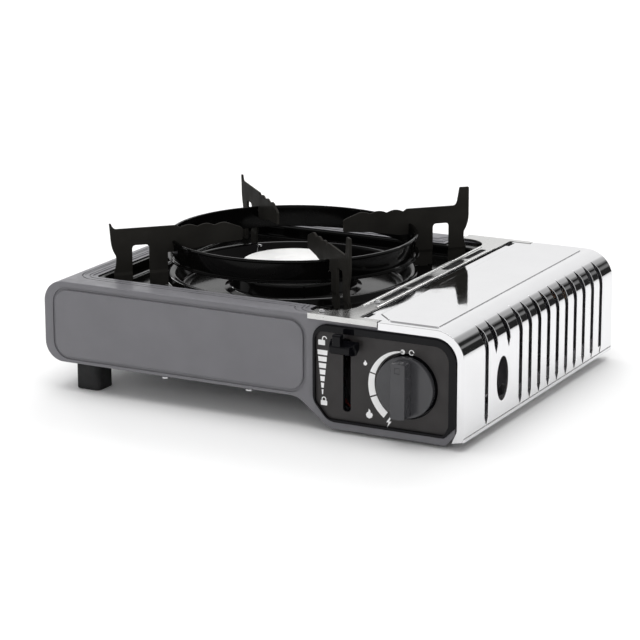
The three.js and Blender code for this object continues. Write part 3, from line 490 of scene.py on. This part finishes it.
def flange_line(reach, part):
    """The pan opening's outline moved out: the wide part, or the part that runs on past the trim's corners."""
    across = min(reach, 9)
    if part:
        return rectangle(42 - reach, 92, -120 - across, 120 + across, 5 + across)
    return rectangle(-142 - reach, 92, -107 - reach, 107 + reach, 5 + reach)


def make_body_shell():
    shell = cut(
        prism(body_outline(0), "y", -BODY_Y, BODY_Y, 1.1, 4),
        prism(body_outline(SHEET), "y", -BODY_Y + SHEET, BODY_Y - SHEET))
    hem = BODY_Y - 6.5
    inner = BODY_Y - SHEET
    step = []
    for reach, depth in ((9.5, 0.3), (3.4, 0.8)):
        step += [prism(flange_line(reach, part), "z", BODY_TOP - depth, BODY_TOP + 2) for part in (0, 1)]
    for reach in (6.2, 11.6):
        step.append(cut(
            joined(*[prism(flange_line(reach, part), "z", BODY_TOP - 0.9, BODY_TOP + 2) for part in (0, 1)]),
            *[prism(flange_line(reach - 0.9, part), "z", BODY_TOP - 2, BODY_TOP + 3) for part in (0, 1)]))
    tools = [
        prism(rectangle(-142, 78, -107, 107, 5), "z", BODY_TOP - 4, BODY_TOP + 1),
        prism(rectangle(42, 78, -120, 120, 5), "z", BODY_TOP - 4, BODY_TOP + 1),
        block(RAIL_RIGHT, RIGHT, -inner, inner, BODY_TOP - 4, BODY_TOP + 1),
        block(RAIL_RIGHT, RIGHT, -150, 150, BODY_TOP - SHEET - GAP, BODY_TOP + 1),
        block(-153, 40, -hem, hem, 0, BODY_LOW + 4),
        block(39, RIGHT, -inner, inner, 0, BODY_LOW + 4),
        block(120, RIGHT, -inner, inner, 0, BODY_TOP + 1),
        prism(rectangle(57, 160.5, 11.5, 76, 8), "y", -150, -BODY_Y + SHEET + 1),
        rod("z", -69, -129.8, 2, 20, 26, 24),
        rod("z", 0, -129.8, 2, 20, 26, 24),
    ]
    groove = cut(
        prism(rectangle(*GROOVE), "y", -BODY_Y - 1, -BODY_Y + 0.95),
        prism(rectangle(*FIELD), "y", -BODY_Y - 2, -BODY_Y + 2))
    field = prism(rectangle(*FIELD), "y", -BODY_Y - 1.0, -BODY_Y + 0.1, 0.6, 3, (True, False))
    return joined(cut(shell, *step, *tools, groove), field)


piece(make_body_shell(), "shell_with_raised_front", GREY, "stove_body", ["body_shell"], 0.25)

for place, side in (("front", -1), ("rear", 1)):
    low_y = side * 113 - 10
    foot = prism(rectangle(-151, -130.5, low_y, low_y + 20, 4), "z", 0, 23.2, 0.7, 3, (True, False))
    piece(foot, f"moulded_foot_{place}", RUBBER, "stove_body", [f"foot_{place}_left"], 0)


# ---------- drip pan ----------
def make_pan_tray():
    """The pressed tray: a flat rim, a rounded shoulder, a wall, a rounded foot and a floor, one sheet thick."""
    bm = bmesh.new()

    def tray_loop(left, right, half, radius, z):
        return [bm.verts.new((p.x, p.y, z)) for p in rectangle(left, right, -half, half, radius, 8)]

    def at(grow, z, radius):
        left, right, half = PAN_WALL
        return tray_loop(left - grow, right + grow, half + grow, radius, z)

    loops = [at(-4.2, PAN_FLOOR, 6.5)]
    for k in range(1, 6):
        angle = radians(18 * k)
        loops.append(at(-4.2 + 3 * sin(angle), PAN_FLOOR + 3 * (1 - cos(angle)), 6.5 + 3 * sin(angle)))
    for k in range(0, 6):
        angle = radians(18 * k)
        loops.append(at(-1.2 + 2 * (1 - cos(angle)), RIM_TOP - 2 + 2 * sin(angle), 9.5 + 2 * (1 - cos(angle))))
    rim = [
        tray_loop(*PAN_RIM, 8, RIM_TOP),
        tray_loop(*PAN_RIM, 8, RIM_TOP - SHEET),
    ]
    under = [at(1.4, RIM_TOP - SHEET, 12), at(0, RIM_TOP - 3, 11), at(0, PAN_FLOOR + 1, 10.5),
             at(-2.4, PAN_FLOOR - SHEET, 8)]
    loops = loops + rim + under
    for first, second in zip(loops, loops[1:]):
        count = len(first)
        for i in range(count):
            j = (i + 1) % count
            bm.faces.new((first[i], first[j], second[j], second[i]))
    bm.faces.new(loops[0])
    bm.faces.new(loops[-1])
    return to_object(bm)


def make_drip_pan():
    tray = cut(make_pan_tray(), rod("z", BURNER_X, 0, PAN_WELL, PAN_FLOOR - 3, PAN_FLOOR + 3, 120))
    f = PAN_FLOOR
    well = turned(outline([
        (99, f - 1.2), (99, f), (96, f, 2), (93, f + 4.6, 2.5), (89, f + 4.6, 2.5), (83.5, f - 6.4, 3),
        (78, f - 7.5, 4), (52, f - 8, 4), (47, f - 6.6, 3), (43.4, f + 2.2, 2), (35, f + 2.2), (35, f + 1),
        (42.6, f + 1, 1.5), (46.2, f - 7.8, 2.5), (52, f - 9.2, 3), (78.2, f - 8.7, 3), (84.2, f - 7.2, 2.5),
        (89.8, f + 3.4, 2), (92.4, f + 3.4, 2), (95.4, f - 1.2, 1.5),
    ], 5))
    tools = []
    for angle in ARM_ANGLES.values():
        for middle in FOOT_SLOTS:
            slot = prism(rectangle(middle - 4.5, middle + 4.5, -1.8, 1.8, 0.8, 4), "z", f - 4, f + 1)
            tools.append(turn_about_z(slot, angle))
    spot = radians(155)
    tools.append(rod("z", BURNER_X + 46 * cos(spot), 46 * sin(spot), 4.2, f - 12, f + 4, 32))
    return cut(joined(tray, well), *tools)


piece(make_drip_pan(), "pressed_drip_pan", ENAMEL, "stove_body", ["drip_pan"], 0)


# ---------- bright trim ----------
def make_trim():
    plan = outline([
        (50, -TRIM_LIP), (TRIM_END, -TRIM_LIP), (TRIM_END, -129), (RAIL_RIGHT, -129),
        (RAIL_RIGHT, 129), (TRIM_END, 129), (TRIM_END, TRIM_LIP), (50, TRIM_LIP), (50, 121.5),
        (73.5, 121.5, 19), (73.5, -121.5, 19), (50, -121.5),
    ], 12)
    parts = []
    for side in (-1, 1):
        near, far = sorted((side * (BODY_Y + GAP), side * TRIM_LIP))
        parts.append(block(49.5, TRIM_END, near, far, 80.4, TRIM_TOP + 1))
    for x in (75, 85.8):
        bead = [(x + 1.3 * cos(a), TRIM_TOP + 0.9 + 0.85 * sin(a)) for a in (radians(15 * k) for k in range(13))]
        parts.append(prism(bead, "y", -100, 100))
    vents = [prism(rectangle(78, 83, low, high, 2, 6), "z", TRIM_TOP - 1, TRIM_TOP + 3)
             for low, high in ((-80, -41), (-37, 1), (22, 55), (60, 94))]
    return cut(joined(prism(plan, "z", TRIM_TOP, TRIM_TOP + 1), *parts), *vents)


piece(make_trim(), "bright_trim_strip", SATIN, "stove_body", ["trim_frame"], 0.3)
# A thin near-black sheet between the shell and the trim: painted shade that darkens the vent slots instead of letting
# the grey shell show through.
vent_shade = prism(rectangle(77.4, 84.4, -84, 98, 1, 3), "z", BODY_TOP + 0.02, TRIM_TOP - 0.02)
piece(vent_shade, "painted_shade_under_vents", PAINTED_SHADE, "stove_body", (), 0)
for place, x, y in (("front", 57, -127), ("middle", 80.6, -88)):
    head = turned([(0, 84.6), (2.4, 84.6), (2.35, 85.0), (2.1, 85.5), (1.5, 85.9), (0.7, 86.08), (0, 86.1)], x, y, 40)
    piece(head, f"domed_rivet_{place}", STEEL, "stove_body", [f"trim_rivet_{place}"], 0)


# ---------- burner ----------
def make_cap():
    dome = turned([
        (0, CAP_TOP - 4.5), (20, CAP_TOP - 4.5), (20, CAP_TOP - 6.5), (36, CAP_TOP - 6.5), (38.1, CAP_TOP - 4.9),
        (38.3, CAP_TOP - 4.4), (38.3, CAP_TOP - 2.2), (38.0, CAP_TOP - 1.4), (37.3, CAP_TOP - 0.8),
        (36, CAP_TOP - 0.4), (32, CAP_TOP - 0.1), (30, CAP_TOP), (14, CAP_TOP), (13.4, CAP_TOP - 0.25),
        (12.8, CAP_TOP - 0.4), (0, CAP_TOP - 0.4),
    ])
    ports = [turn_about_z(block(30, 41, -0.8, 0.8, CAP_TOP - 8, CAP_TOP - 4.4), 10 * k) for k in range(36)]
    return cut(dome, *ports)


piece(make_cap(), "cast_burner_cap", ALUMINIUM, "stove_body", ["burner_cap"], 0.15)

cup = turned(outline([
    (0, 46), (12, 46, 1), (14, 56, 4), (30, 68, 3), (33, 72, 2), (33, CAP_TOP - 6.8), (29, CAP_TOP - 6.8),
    (26, 70, 2), (12, 60, 3), (9, 52, 1), (0, 52),
], 4))
cup = cut(cup, rod("x", 0, 52.5, 8.7, BURNER_X, BURNER_X + 40))
piece(cup, "cast_burner_cup", ALUMINIUM, "stove_body", ["burner_body"], 0.2)


# ---------- pan support ----------
def make_ring():
    r, low, top = RING_RADIUS, RING_LOW, RING_TOP
    ring = turned(outline([
        (r - 2.9, low, 0.3), (r + 1, low, 0.3), (r + 1, low + 1.2, 0.3), (r - 1.6, low + 1.2, 0.6),
        (r - 0.7, top - 2.2, 1), (r, top - 1.6, 0.6), (r, top, 0.7), (r - 2.4, top, 0.7), (r - 2.2, top - 2.2, 0.5),
    ], 4), steps=180)
    slots = [turn_about_z(block(80, 100, -1.1, 1.1, low + 7.7, top + 2), a) for a in ARM_ANGLES.values()]
    return cut(ring, *slots)


piece(make_ring(), "pressed_support_ring", ENAMEL, "pan_support", ["support_ring"], 0)


def arm_outline(tall):
    """Side view of an arm in (radius, z): scalloped grips near the pot's middle, a plain rest, and a horn."""
    low = PAN_FLOOR + GAP
    points = [Vector((39.5, 102.9)), Vector((39.5, 111.2)), Vector((41, 112.4)), Vector((50, 115.8))]
    pitch = 40 / 3
    for i in range(3):
        start = 50 + i * pitch
        points += curve_points(points[-1], (start + pitch * 0.35, ARM_TOP + 1), (start + pitch * 0.8, ARM_TOP - 1.9))
        points.append(Vector((start + pitch, ARM_TOP - (0 if i == 2 else 1))))
    if tall:
        points.append(Vector((127.5, ARM_TOP)))
        points += curve_points(points[-1], (130, ARM_TOP), (130.8, 121))
        points += [Vector((132.4, 130.4)), Vector((133, 131)), Vector((139.4, 131)), Vector((140, 130.4))]
    else:
        points.append(Vector((136, ARM_TOP)))
        points += curve_points(points[-1], (138.6, 117.6), (139.6, 121.3))
        points += [Vector((141, 121.5))]
    points.append(Vector((140, 109)))
    points += curve_points((140, 109), (139.6, 102), (136.4, 97), 8)
    points += curve_points((136.4, 97), (135.2, 92), (138, 84), 8)
    for inner, outer in LEGS:
        middle = (inner + outer) / 2
        points += [Vector(p) for p in (
            (outer, low), (middle + 3.5, low), (middle + 3.5, low - 4.4), (middle + 2.6, low - 5),
            (middle - 2.6, low - 5), (middle - 3.5, low - 4.4), (middle - 3.5, low), (inner, low))]
        if inner == LEGS[0][0]:
            points.append(Vector((124, 101)))
            points += curve_points((124, 101), (124, 104), (121, 104), 6)
            points.append(Vector((114, 104)))
            points += curve_points((114, 104), (111, 104), (111, 101), 6)
    points += [Vector((97, RING_LOW + 8)), Vector((84, RING_LOW + 8)), Vector((60, 101)), Vector((40.3, 102.4))]
    return points


def make_arm(tall, angle):
    """A pressed arm, whose legs step sideways just above the pan."""
    arm = prism(arm_outline(tall), "y", -ARM_THICK / 2, ARM_THICK / 2)
    bm = bmesh.new()
    bm.from_mesh(arm.data)
    for height in (84.6, 84.0, 83.2, 82.4, 81.8):
        bmesh.ops.bisect_plane(
            bm, geom=bm.verts[:] + bm.edges[:] + bm.faces[:], plane_co=(0, 0, height), plane_no=(0, 0, 1))
    for vert in bm.verts:
        share = min(max((84.4 - vert.co.z) / 2.4, 0), 1)
        vert.co.y += 0.75 * share * share * (3 - 2 * share)
    bm.to_mesh(arm.data)
    bm.free()
    return turn_about_z(arm, angle)


for place, angle in ARM_ANGLES.items():
    arm = make_arm(place.endswith("right"), angle)
    piece(arm, f"pressed_arm_{place}", ARM, "pan_support", [f"support_arm_{place}"], 0.3, 3)


# ---------- control panel ----------
def panel_border(pull):
    left, right, low, top = PANEL_EDGE
    return outline([
        (left + pull * 0.4, low + 14, 12 - pull), (left + 12, low + pull * 0.4, 12 - pull),
        (right - 9, low + pull * 0.4, 3), (right - pull, low + 9, 3),
        (right - pull, top - pull, 16.4 - pull), (left + pull * 0.4, top - pull, 12 - pull),
    ], 12)


def make_panel():
    frame_ring = cut(
        prism(panel_border(0), "y", PANEL_FACE, RECESS - 0.1, 1.1, 4, (True, False)),
        prism(panel_border(5.5), "y", PANEL_FACE - 1, PANEL_INNER + 4))
    insert = prism(rectangle(58, 159.5, 12.5, 75, 7), "y", RECESS, PANEL_INNER + 2.6)
    face = prism(panel_border(4), "y", RECESS, RECESS + 0.2)
    slot = prism(rectangle(*LEVER_SLOT), "y", PANEL_FACE - 2, PANEL_INNER + 6)
    stem_hole = rod("y", AXIS_X, AXIS_Z, 4.5, PANEL_FACE - 2, PANEL_INNER + 6)
    recess = cut(
        rod("y", AXIS_X, AXIS_Z, 23.1, PANEL_FACE - 2, RECESS + 2.6, 128),
        rod("y", AXIS_X, AXIS_Z, 20.6, PANEL_FACE - 3, RECESS + 4, 128))
    return cut(joined(insert, face, frame_ring), slot, stem_hole, recess)


panel = piece(make_panel(), "panel_with_gloss_border", GLOSS, "stove_body", ["control_panel"], 0.25)
panel.data.materials.append(PANEL)
for polygon in panel.data.polygons:
    if polygon.normal.y < -0.95 and abs(polygon.center.y / MM - FORWARD - RECESS) < 0.15:
        polygon.material_index = 1


def mark(points, name, body="stove_body", y=RECESS, thick=0.06):
    ink = prism(points, "y", y - thick, y - 0.01)
    return piece(ink, name, INK, body, (), 0)


def arc_band(start, end, inner, outer, steps=24):
    """A band round the knob between two angles in degrees, whose inner and outer radii change along it."""
    points = []
    for k in range(steps + 1):
        t = k / steps
        angle = radians(start + (end - start) * t)
        radius = outer[0] + (outer[1] - outer[0]) * t
        points.append((AXIS_X + radius * cos(angle), AXIS_Z + radius * sin(angle)))
    for k in range(steps, -1, -1):
        t = k / steps
        angle = radians(start + (end - start) * t)
        radius = inner[0] + (inner[1] - inner[0]) * t
        points.append((AXIS_X + radius * cos(angle), AXIS_Z + radius * sin(angle)))
    return points


mark(arc_band(98, 166, (23.9, 24.9), (24.7, 29.3)), "mark_arc_low")
mark(arc_band(168, 200.4, (24.9, 25.1), (29.4, 30.3)), "mark_arc_middle")
mark(arc_band(202.6, 234.5, (25.1, 25.3), (30.3, 30.6)), "mark_arc_high")
mark(circle(122.9, 65.2, 1.7, 40), "mark_off_dot")
for i in range(7):
    z = WEDGE_TOP - WEDGE_PITCH * i
    half = 4.0 - 0.55 * i
    bar = [
        (WEDGE_X - half + 0.3, z - 1.8), (WEDGE_X + half - 0.3, z - 1.8),
        (WEDGE_X + half, z + 1.7), (WEDGE_X - half, z + 1.7)]
    mark(bar, f"mark_wedge_{i}")


def padlock(x, z, size, open_shackle, name):
    """A small padlock: a solid case under a round shackle, which is lifted and turned aside when open."""
    case = rectangle(x - size * 0.5, x + size * 0.5, z - size * 0.55, z + size * 0.15, size * 0.1, 3)
    shift = size * 0.42 if open_shackle else 0
    ring = [(radians(180 - 12 * k)) for k in range(16)]
    outer = [(x + shift + size * 0.36 * cos(a), z + size * (0.34 + 0.36 * sin(a))) for a in ring]
    inner = [(x + shift + size * 0.22 * cos(a), z + size * (0.34 + 0.22 * sin(a))) for a in reversed(ring)]
    foot_left = [(x + shift - size * 0.22, z + size * 0.1), (x + shift - size * 0.36, z + size * 0.1)]
    foot_right = [(x + shift + size * 0.36, z + size * 0.1), (x + shift + size * 0.22, z + size * 0.1)]
    mark(case, f"{name}_case")
    mark(outer + ([] if open_shackle else foot_right) + inner + foot_left, f"{name}_shackle")


def flame(x, z, size, name):
    """A small flame outline: a pointed drop that leans to one side."""
    shape = [
        (0, -0.5), (0.3, -0.36), (0.42, -0.08), (0.32, 0.2), (0.2, 0.1), (0.12, 0.42), (-0.06, 0.62),
        (-0.1, 0.3), (-0.3, 0.12), (-0.4, -0.12), (-0.28, -0.38)]
    mark([(x + size * u, z + size * v) for u, v in shape], name)


padlock(60.2, 65.2, 5.4, True, "mark_unlocked")
padlock(62.0, 21.6, 5.0, False, "mark_locked")
flame(94.2, 53.6, 3.6, "mark_flame_low")
flame(97.4, 17.2, 6.4, "mark_flame_high")
spark = [(0.12, 0.62), (-0.34, -0.04), (-0.06, -0.04), (-0.22, -0.62), (0.34, 0.12), (0.05, 0.12), (0.3, 0.62)]
mark([(SPARK[0] + SPARK[2] * u, SPARK[1] + SPARK[2] * v) for u, v in spark], "mark_spark")
x, z, outer, inner = OFF_RING
off_ring = [(x + outer * cos(radians(10 * k)), z + outer * sin(radians(10 * k))) for k in range(33)]
off_ring += [(x + inner * cos(radians(10 * k)), z + inner * sin(radians(10 * k))) for k in range(32, -1, -1)]
mark(off_ring, "mark_off_ring")


# ---------- knob ----------
def make_knob_disc():
    """A flat disc with a rounded rim, its face stepping down to a faint ring."""
    profile = [(0, KNOB_BACK), (21.0, KNOB_BACK), (KNOB_RADIUS, KNOB_BACK - 0.7), (KNOB_RADIUS, KNOB_FACE)]
    profile += [(20.8 + 0.9 * cos(radians(a)), KNOB_FACE - 0.9 * sin(radians(a))) for a in range(18, 91, 18)]
    profile += [(19.6, -139.0), (19.2, -138.85), (0, -138.85)]
    disc = turned(profile, 0, 0, 128)
    swap_y_and_z = Matrix(((1, 0, 0, 0), (0, 0, 1, 0), (0, 1, 0, 0), (0, 0, 0, 1)))
    disc.data.transform(Matrix.Translation((AXIS_X, 0, AXIS_Z)) @ swap_y_and_z)
    bm = bmesh.new()
    bm.from_mesh(disc.data)
    bmesh.ops.recalc_face_normals(bm, faces=bm.faces)
    bm.to_mesh(disc.data)
    bm.free()
    return disc


def make_knob_grip():
    bar = common(
        prism(
            rectangle(AXIS_X - GRIP_HALF, AXIS_X + GRIP_HALF, AXIS_Z - GRIP_LENGTH, AXIS_Z + GRIP_LENGTH),
            "y", -150, -137, 0.9, 4, (True, False)),
        rod("y", AXIS_X, AXIS_Z, GRIP_RADIUS, -151, -136, 128))
    square = rectangle(AXIS_X - 2, AXIS_X + 2, AXIS_Z + 13, AXIS_Z + 17, 0.5, 3)
    return cut(bar, prism(square, "y", -151, -149.6), rod("y", AXIS_X, AXIS_Z, 3.3, -146, -130, 32))


piece(make_knob_disc(), "knob_disc", KNOB, "knob", ["control_knob"], 0)
piece(make_knob_grip(), "knob_bar_grip", KNOB, "knob", (), 0.3, 3)


# ---------- lever tab ----------
def make_tab():
    """A wedge that narrows towards the finger: sloping top with an upright nub, short lip, undercut foot."""
    back, front, middle, back_half, front_half = -136.6, -147.4, 80.2, 11.5, 7.6
    side = outline([
        (front, 61.5, 1.0), (-143, 59.8, 1.0), (-139.8, 59.8, 0.4), (back, 65, 0.8), (back, 68.8, 0.6),
        (front, 66.4, 1.2),
    ], 6)
    plan = outline([
        (middle - back_half, back, 0.8), (middle - front_half, front, 1.8), (middle + front_half, front, 1.8),
        (middle + back_half, back, 0.8),
    ], 6)
    wedge = common(
        prism(side, "x", middle - back_half, middle + back_half),
        prism(plan, "z", 55, 80))
    nub = outline([(-147, 64.4), (-141.6, 64.4), (-141.6, 74.5, 1.0), (-147, 74.5, 1.6)], 6)
    pocket = block(78.6, 81.2, -68.5, -50, -3.4, 0.8)
    pocket.data.transform(Matrix.Translation((0, LEVER_Y, LEVER_Z)) @ Matrix.Rotation(-LEVER_REST, 4, "X"))
    return cut(joined(wedge, prism(nub, "x", 75, 81.2)), pocket)


piece(make_tab(), "moulded_lever_tab", GLOSS, "lever", ["lever_tab"], 0.4, 3)


# ---------- lid ----------
def lid_outline(inset, left=LID_LEFT, low=LID_LOW):
    return outline([
        (left, low), (RIGHT - inset, low), (RIGHT - inset, LID_TOP - inset, LID_RADIUS - inset),
        (left, LID_TOP - inset),
    ], 28)


def slot_tool(y, low):
    top = LID_TOP - 4
    half = 3.1
    shape = outline([
        (y, low - 3), (y + half, low + 3.5, 3), (y + half, top - 5, 3), (y, top), (y - half, top - 5, 3),
        (y - half, low + 3.5, 3),
    ], 5)
    return prism(shape, "x", RIGHT - 15, RIGHT + 2)


def make_lid():
    half = LID_HALF
    skin = cut(
        prism(lid_outline(0), "y", -half, half),
        prism(lid_outline(LID_SHEET, LID_LEFT - 5, LID_LOW - 5), "y", -half - 1, half + 1))
    rim = outline([
        (LID_SEAM, LID_TOP - LID_RIM), (RIGHT - LID_RIM, LID_TOP - LID_RIM, LID_RADIUS - LID_RIM),
        (RIGHT - LID_RIM, LID_LOW + 7, 6), (RIGHT - LID_RIM - 4, LID_LOW - 1.6), (RIGHT - 2, LID_LOW, 1),
        (RIGHT - 0.1, LID_LOW + 3), (RIGHT - 0.1, LID_TOP - 0.1, LID_RADIUS - 0.1), (LID_SEAM, LID_TOP - 0.1),
    ], 20)
    rims = [prism(rim, "y", side * half, side * (half - LID_SHEET)) for side in (-1, 1)]
    emboss = prism(outline([
        (97, -115, 1.5), (111, -129, 1.5), (147.5, -129, 1.5), (147.5, 125, 1.5), (111, 125, 1.5), (97, 111, 1.5),
    ], 4), "z", LID_TOP - 0.5, LID_TOP + 0.8, 0.75, 4, (False, True))
    hem = block(RIGHT - 2, RIGHT - 0.5, -half + 0.5, half - 0.5, LID_LOW, LID_LOW + 3)
    crease = block(RIGHT - 0.35, RIGHT + 1, -half - 1, half + 1, LID_LOW + 2.6, LID_LOW + 3.1)
    long_slots = [VENT_ALONE] + [VENT_FIRST + VENT_PITCH * k for k in range(10)]
    tools = [slot_tool(y, 12) for y in long_slots] + [slot_tool(y, 60) for y in VENTS_SHORT]
    for side in (-1, 1):
        y = side * (half - 3)
        tools.append(block(LID_LEFT - 1, LID_SEAM, y - 3.5, y + 3.5, 70, 90))
        tools.append(block(86, 92.4, side * HINGE_Y - 5.6, side * HINGE_Y + 5.6, 70, 90))
    y, z, wide, high = OVAL_WINDOW
    oval = [(y + wide * cos(2 * pi * k / 64), z + high * sin(2 * pi * k / 64)) for k in range(64)]
    tools.append(prism(oval, "x", RIGHT - 4, RIGHT + 2))
    return cut(joined(skin, *rims, emboss, hem), crease, *tools)


piece(make_lid(), "vented_lid", CHROME, "cartridge_lid", ["lid"], 0.3, 3)


# ---------- pieces kept from the frame ----------
slot_of = {part["node"]: part["material_slot"] for part in frame["record"]["subparts"]}
for node, obj in frame["nodes"].items():
    finish = MIRROR if node == "heat_shield" else SLOT_FINISH[slot_of[node]]
    for slot in obj.material_slots:
        slot.material = finish
    weld = obj.modifiers.new("weld", "WELD")
    weld.merge_threshold = KEPT_WELD
    edge = obj.modifiers.new("edge", "BEVEL")
    edge.width = KEPT_BEVEL * MM
    edge.segments = 2
    edge.limit_method = "ANGLE"
    edge.angle_limit = KEPT_ANGLE


# ---------- studio ----------
WORLD_STRENGTH = 1.0
FLOOR_HALF = 30
SKY_LEAST = 0.02
# Stops of the sky by height: the z of the direction, and its grey.
SKY = ((0.0, 0.42), (1.0, 0.62), (0.06, 0.52), (0.3, 0.74), (0.6, 0.62))
# Each soft patch of the sky: its direction, the angles where it is full and gone, and what it adds.
SKY_PATCHES = (
    ((-0.45, 0.86, 0.28), 22, 50, 0.3),
    ((0.30, 0.86, 0.42), 5, 13, -0.38),
    ((0.42, 0.87, 0.22), 6, 13, -0.46),
    ((0.50, 0.86, 0.06), 5, 10, -0.4),
    ((-0.25, -0.55, 0.8), 12, 30, -0.42),
    ((-0.86, 0.42, 0.05), 14, 30, -0.4),
)
# Area lights: place, size, power and whether glossy surfaces mirror it.
LIGHTS = {
    "top_softbox": ((-0.1, -0.2, 1.9), (1.8, 1.6), 22.5, False),
    "rear_floor_fill": ((-1.0, 3.2, 2.6), (3.0, 2.0), 60, False),
    "front_softbox": ((0.1, -2.4, 1.0), (1.6, 1.0), 7, False),
    "left_strip": ((-1.5, 0.9, 0.9), (0.12, 1.0), 3.0, True),
    "back_strip": ((0.2, 1.8, 1.3), (1.2, 0.1), 3.0, True),
}


def make_floor():
    bm = bmesh.new()
    bmesh.ops.create_grid(bm, x_segments=1, y_segments=1, size=FLOOR_HALF)
    floor = to_object(bm, "studio_floor")
    material = bpy.data.materials.new("studio_floor")
    material.use_nodes = True
    tree = material.node_tree
    shader = tree.nodes["Principled BSDF"]
    shader.inputs["Roughness"].default_value = 0.9
    shader.inputs["Specular IOR Level"].default_value = 0.1
    noise = tree.nodes.new("ShaderNodeTexNoise")
    noise.inputs["Scale"].default_value = 3
    ramp = tree.nodes.new("ShaderNodeValToRGB")
    ramp.color_ramp.elements[0].color = (0.87, 0.87, 0.87, 1)
    ramp.color_ramp.elements[1].color = (0.89, 0.89, 0.89, 1)
    tree.links.new(noise.outputs["Fac"], ramp.inputs["Fac"])
    tree.links.new(ramp.outputs["Color"], shader.inputs["Base Color"])
    floor.data.materials.append(material)
    floor.location.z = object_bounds()[0][2] - 0.0002


def area_light(name, place, size, power, mirrored):
    data = bpy.data.lights.new(name, "AREA")
    data.shape = "RECTANGLE"
    data.size, data.size_y = size
    data.energy = power
    light = bpy.data.objects.new(name, data)
    bpy.context.collection.objects.link(light)
    light.location = place
    aim = Vector((place[0], place[1], 0)) if name.endswith("floor_fill") else Vector((0, 0, 0.05))
    light.rotation_euler = (aim - Vector(place)).to_track_quat("-Z", "Y").to_euler()
    light.visible_glossy = mirrored
    light.visible_camera = False


def make_sky():
    world = bpy.data.worlds.new("studio")
    bpy.context.scene.world = world
    world.use_nodes = True
    tree = world.node_tree
    backdrop = tree.nodes["Background"]
    backdrop.inputs["Strength"].default_value = WORLD_STRENGTH
    direction = tree.nodes.new("ShaderNodeTexCoord").outputs["Generated"]
    split = tree.nodes.new("ShaderNodeSeparateXYZ")
    shades = tree.nodes.new("ShaderNodeValToRGB")
    tree.links.new(direction, split.inputs["Vector"])
    tree.links.new(split.outputs["Z"], shades.inputs["Fac"])
    for index, (height, shade) in enumerate(SKY):
        if index < 2:
            stop = shades.color_ramp.elements[index]
            stop.position = height
        else:
            stop = shades.color_ramp.elements.new(height)
        stop.color = (shade, shade, shade, 1)
    total = shades.outputs["Color"]
    for toward, full, gone, amount in SKY_PATCHES:
        dot = tree.nodes.new("ShaderNodeVectorMath")
        dot.operation = "DOT_PRODUCT"
        dot.inputs[1].default_value = Vector(toward).normalized()
        tree.links.new(direction, dot.inputs[0])
        share = tree.nodes.new("ShaderNodeMapRange")
        share.interpolation_type = "SMOOTHSTEP"
        share.inputs["From Min"].default_value = cos(radians(gone))
        share.inputs["From Max"].default_value = cos(radians(full))
        share.inputs["To Max"].default_value = amount
        tree.links.new(dot.outputs["Value"], share.inputs["Value"])
        add = tree.nodes.new("ShaderNodeMath")
        add.operation = "ADD"
        tree.links.new(total, add.inputs[0])
        tree.links.new(share.outputs["Result"], add.inputs[1])
        least = tree.nodes.new("ShaderNodeMath")
        least.operation = "MAXIMUM"
        least.inputs[1].default_value = SKY_LEAST
        tree.links.new(add.outputs["Value"], least.inputs[0])
        total = least.outputs["Value"]
    tree.links.new(total, backdrop.inputs["Color"])


make_floor()
for name, light in LIGHTS.items():
    area_light(name, *light)
make_sky()

view = bpy.context.scene.view_settings
view.view_transform = "Standard"
view.look = "None"

camera_data = bpy.data.cameras.new("camera")
camera_data.lens = CAMERA_LENS
camera_data.sensor_width = 36
camera_data.clip_end = 100
camera = bpy.data.objects.new("camera", camera_data)
bpy.context.collection.objects.link(camera)
camera.location = CAMERA_AT
aim = Vector(CAMERA_AIM) - camera.location
turn = aim.to_track_quat("-Z", "Y").to_matrix().to_4x4() @ Matrix.Rotation(CAMERA_ROLL, 4, "Z")
camera.rotation_euler = turn.to_euler()
bpy.context.scene.camera = camera
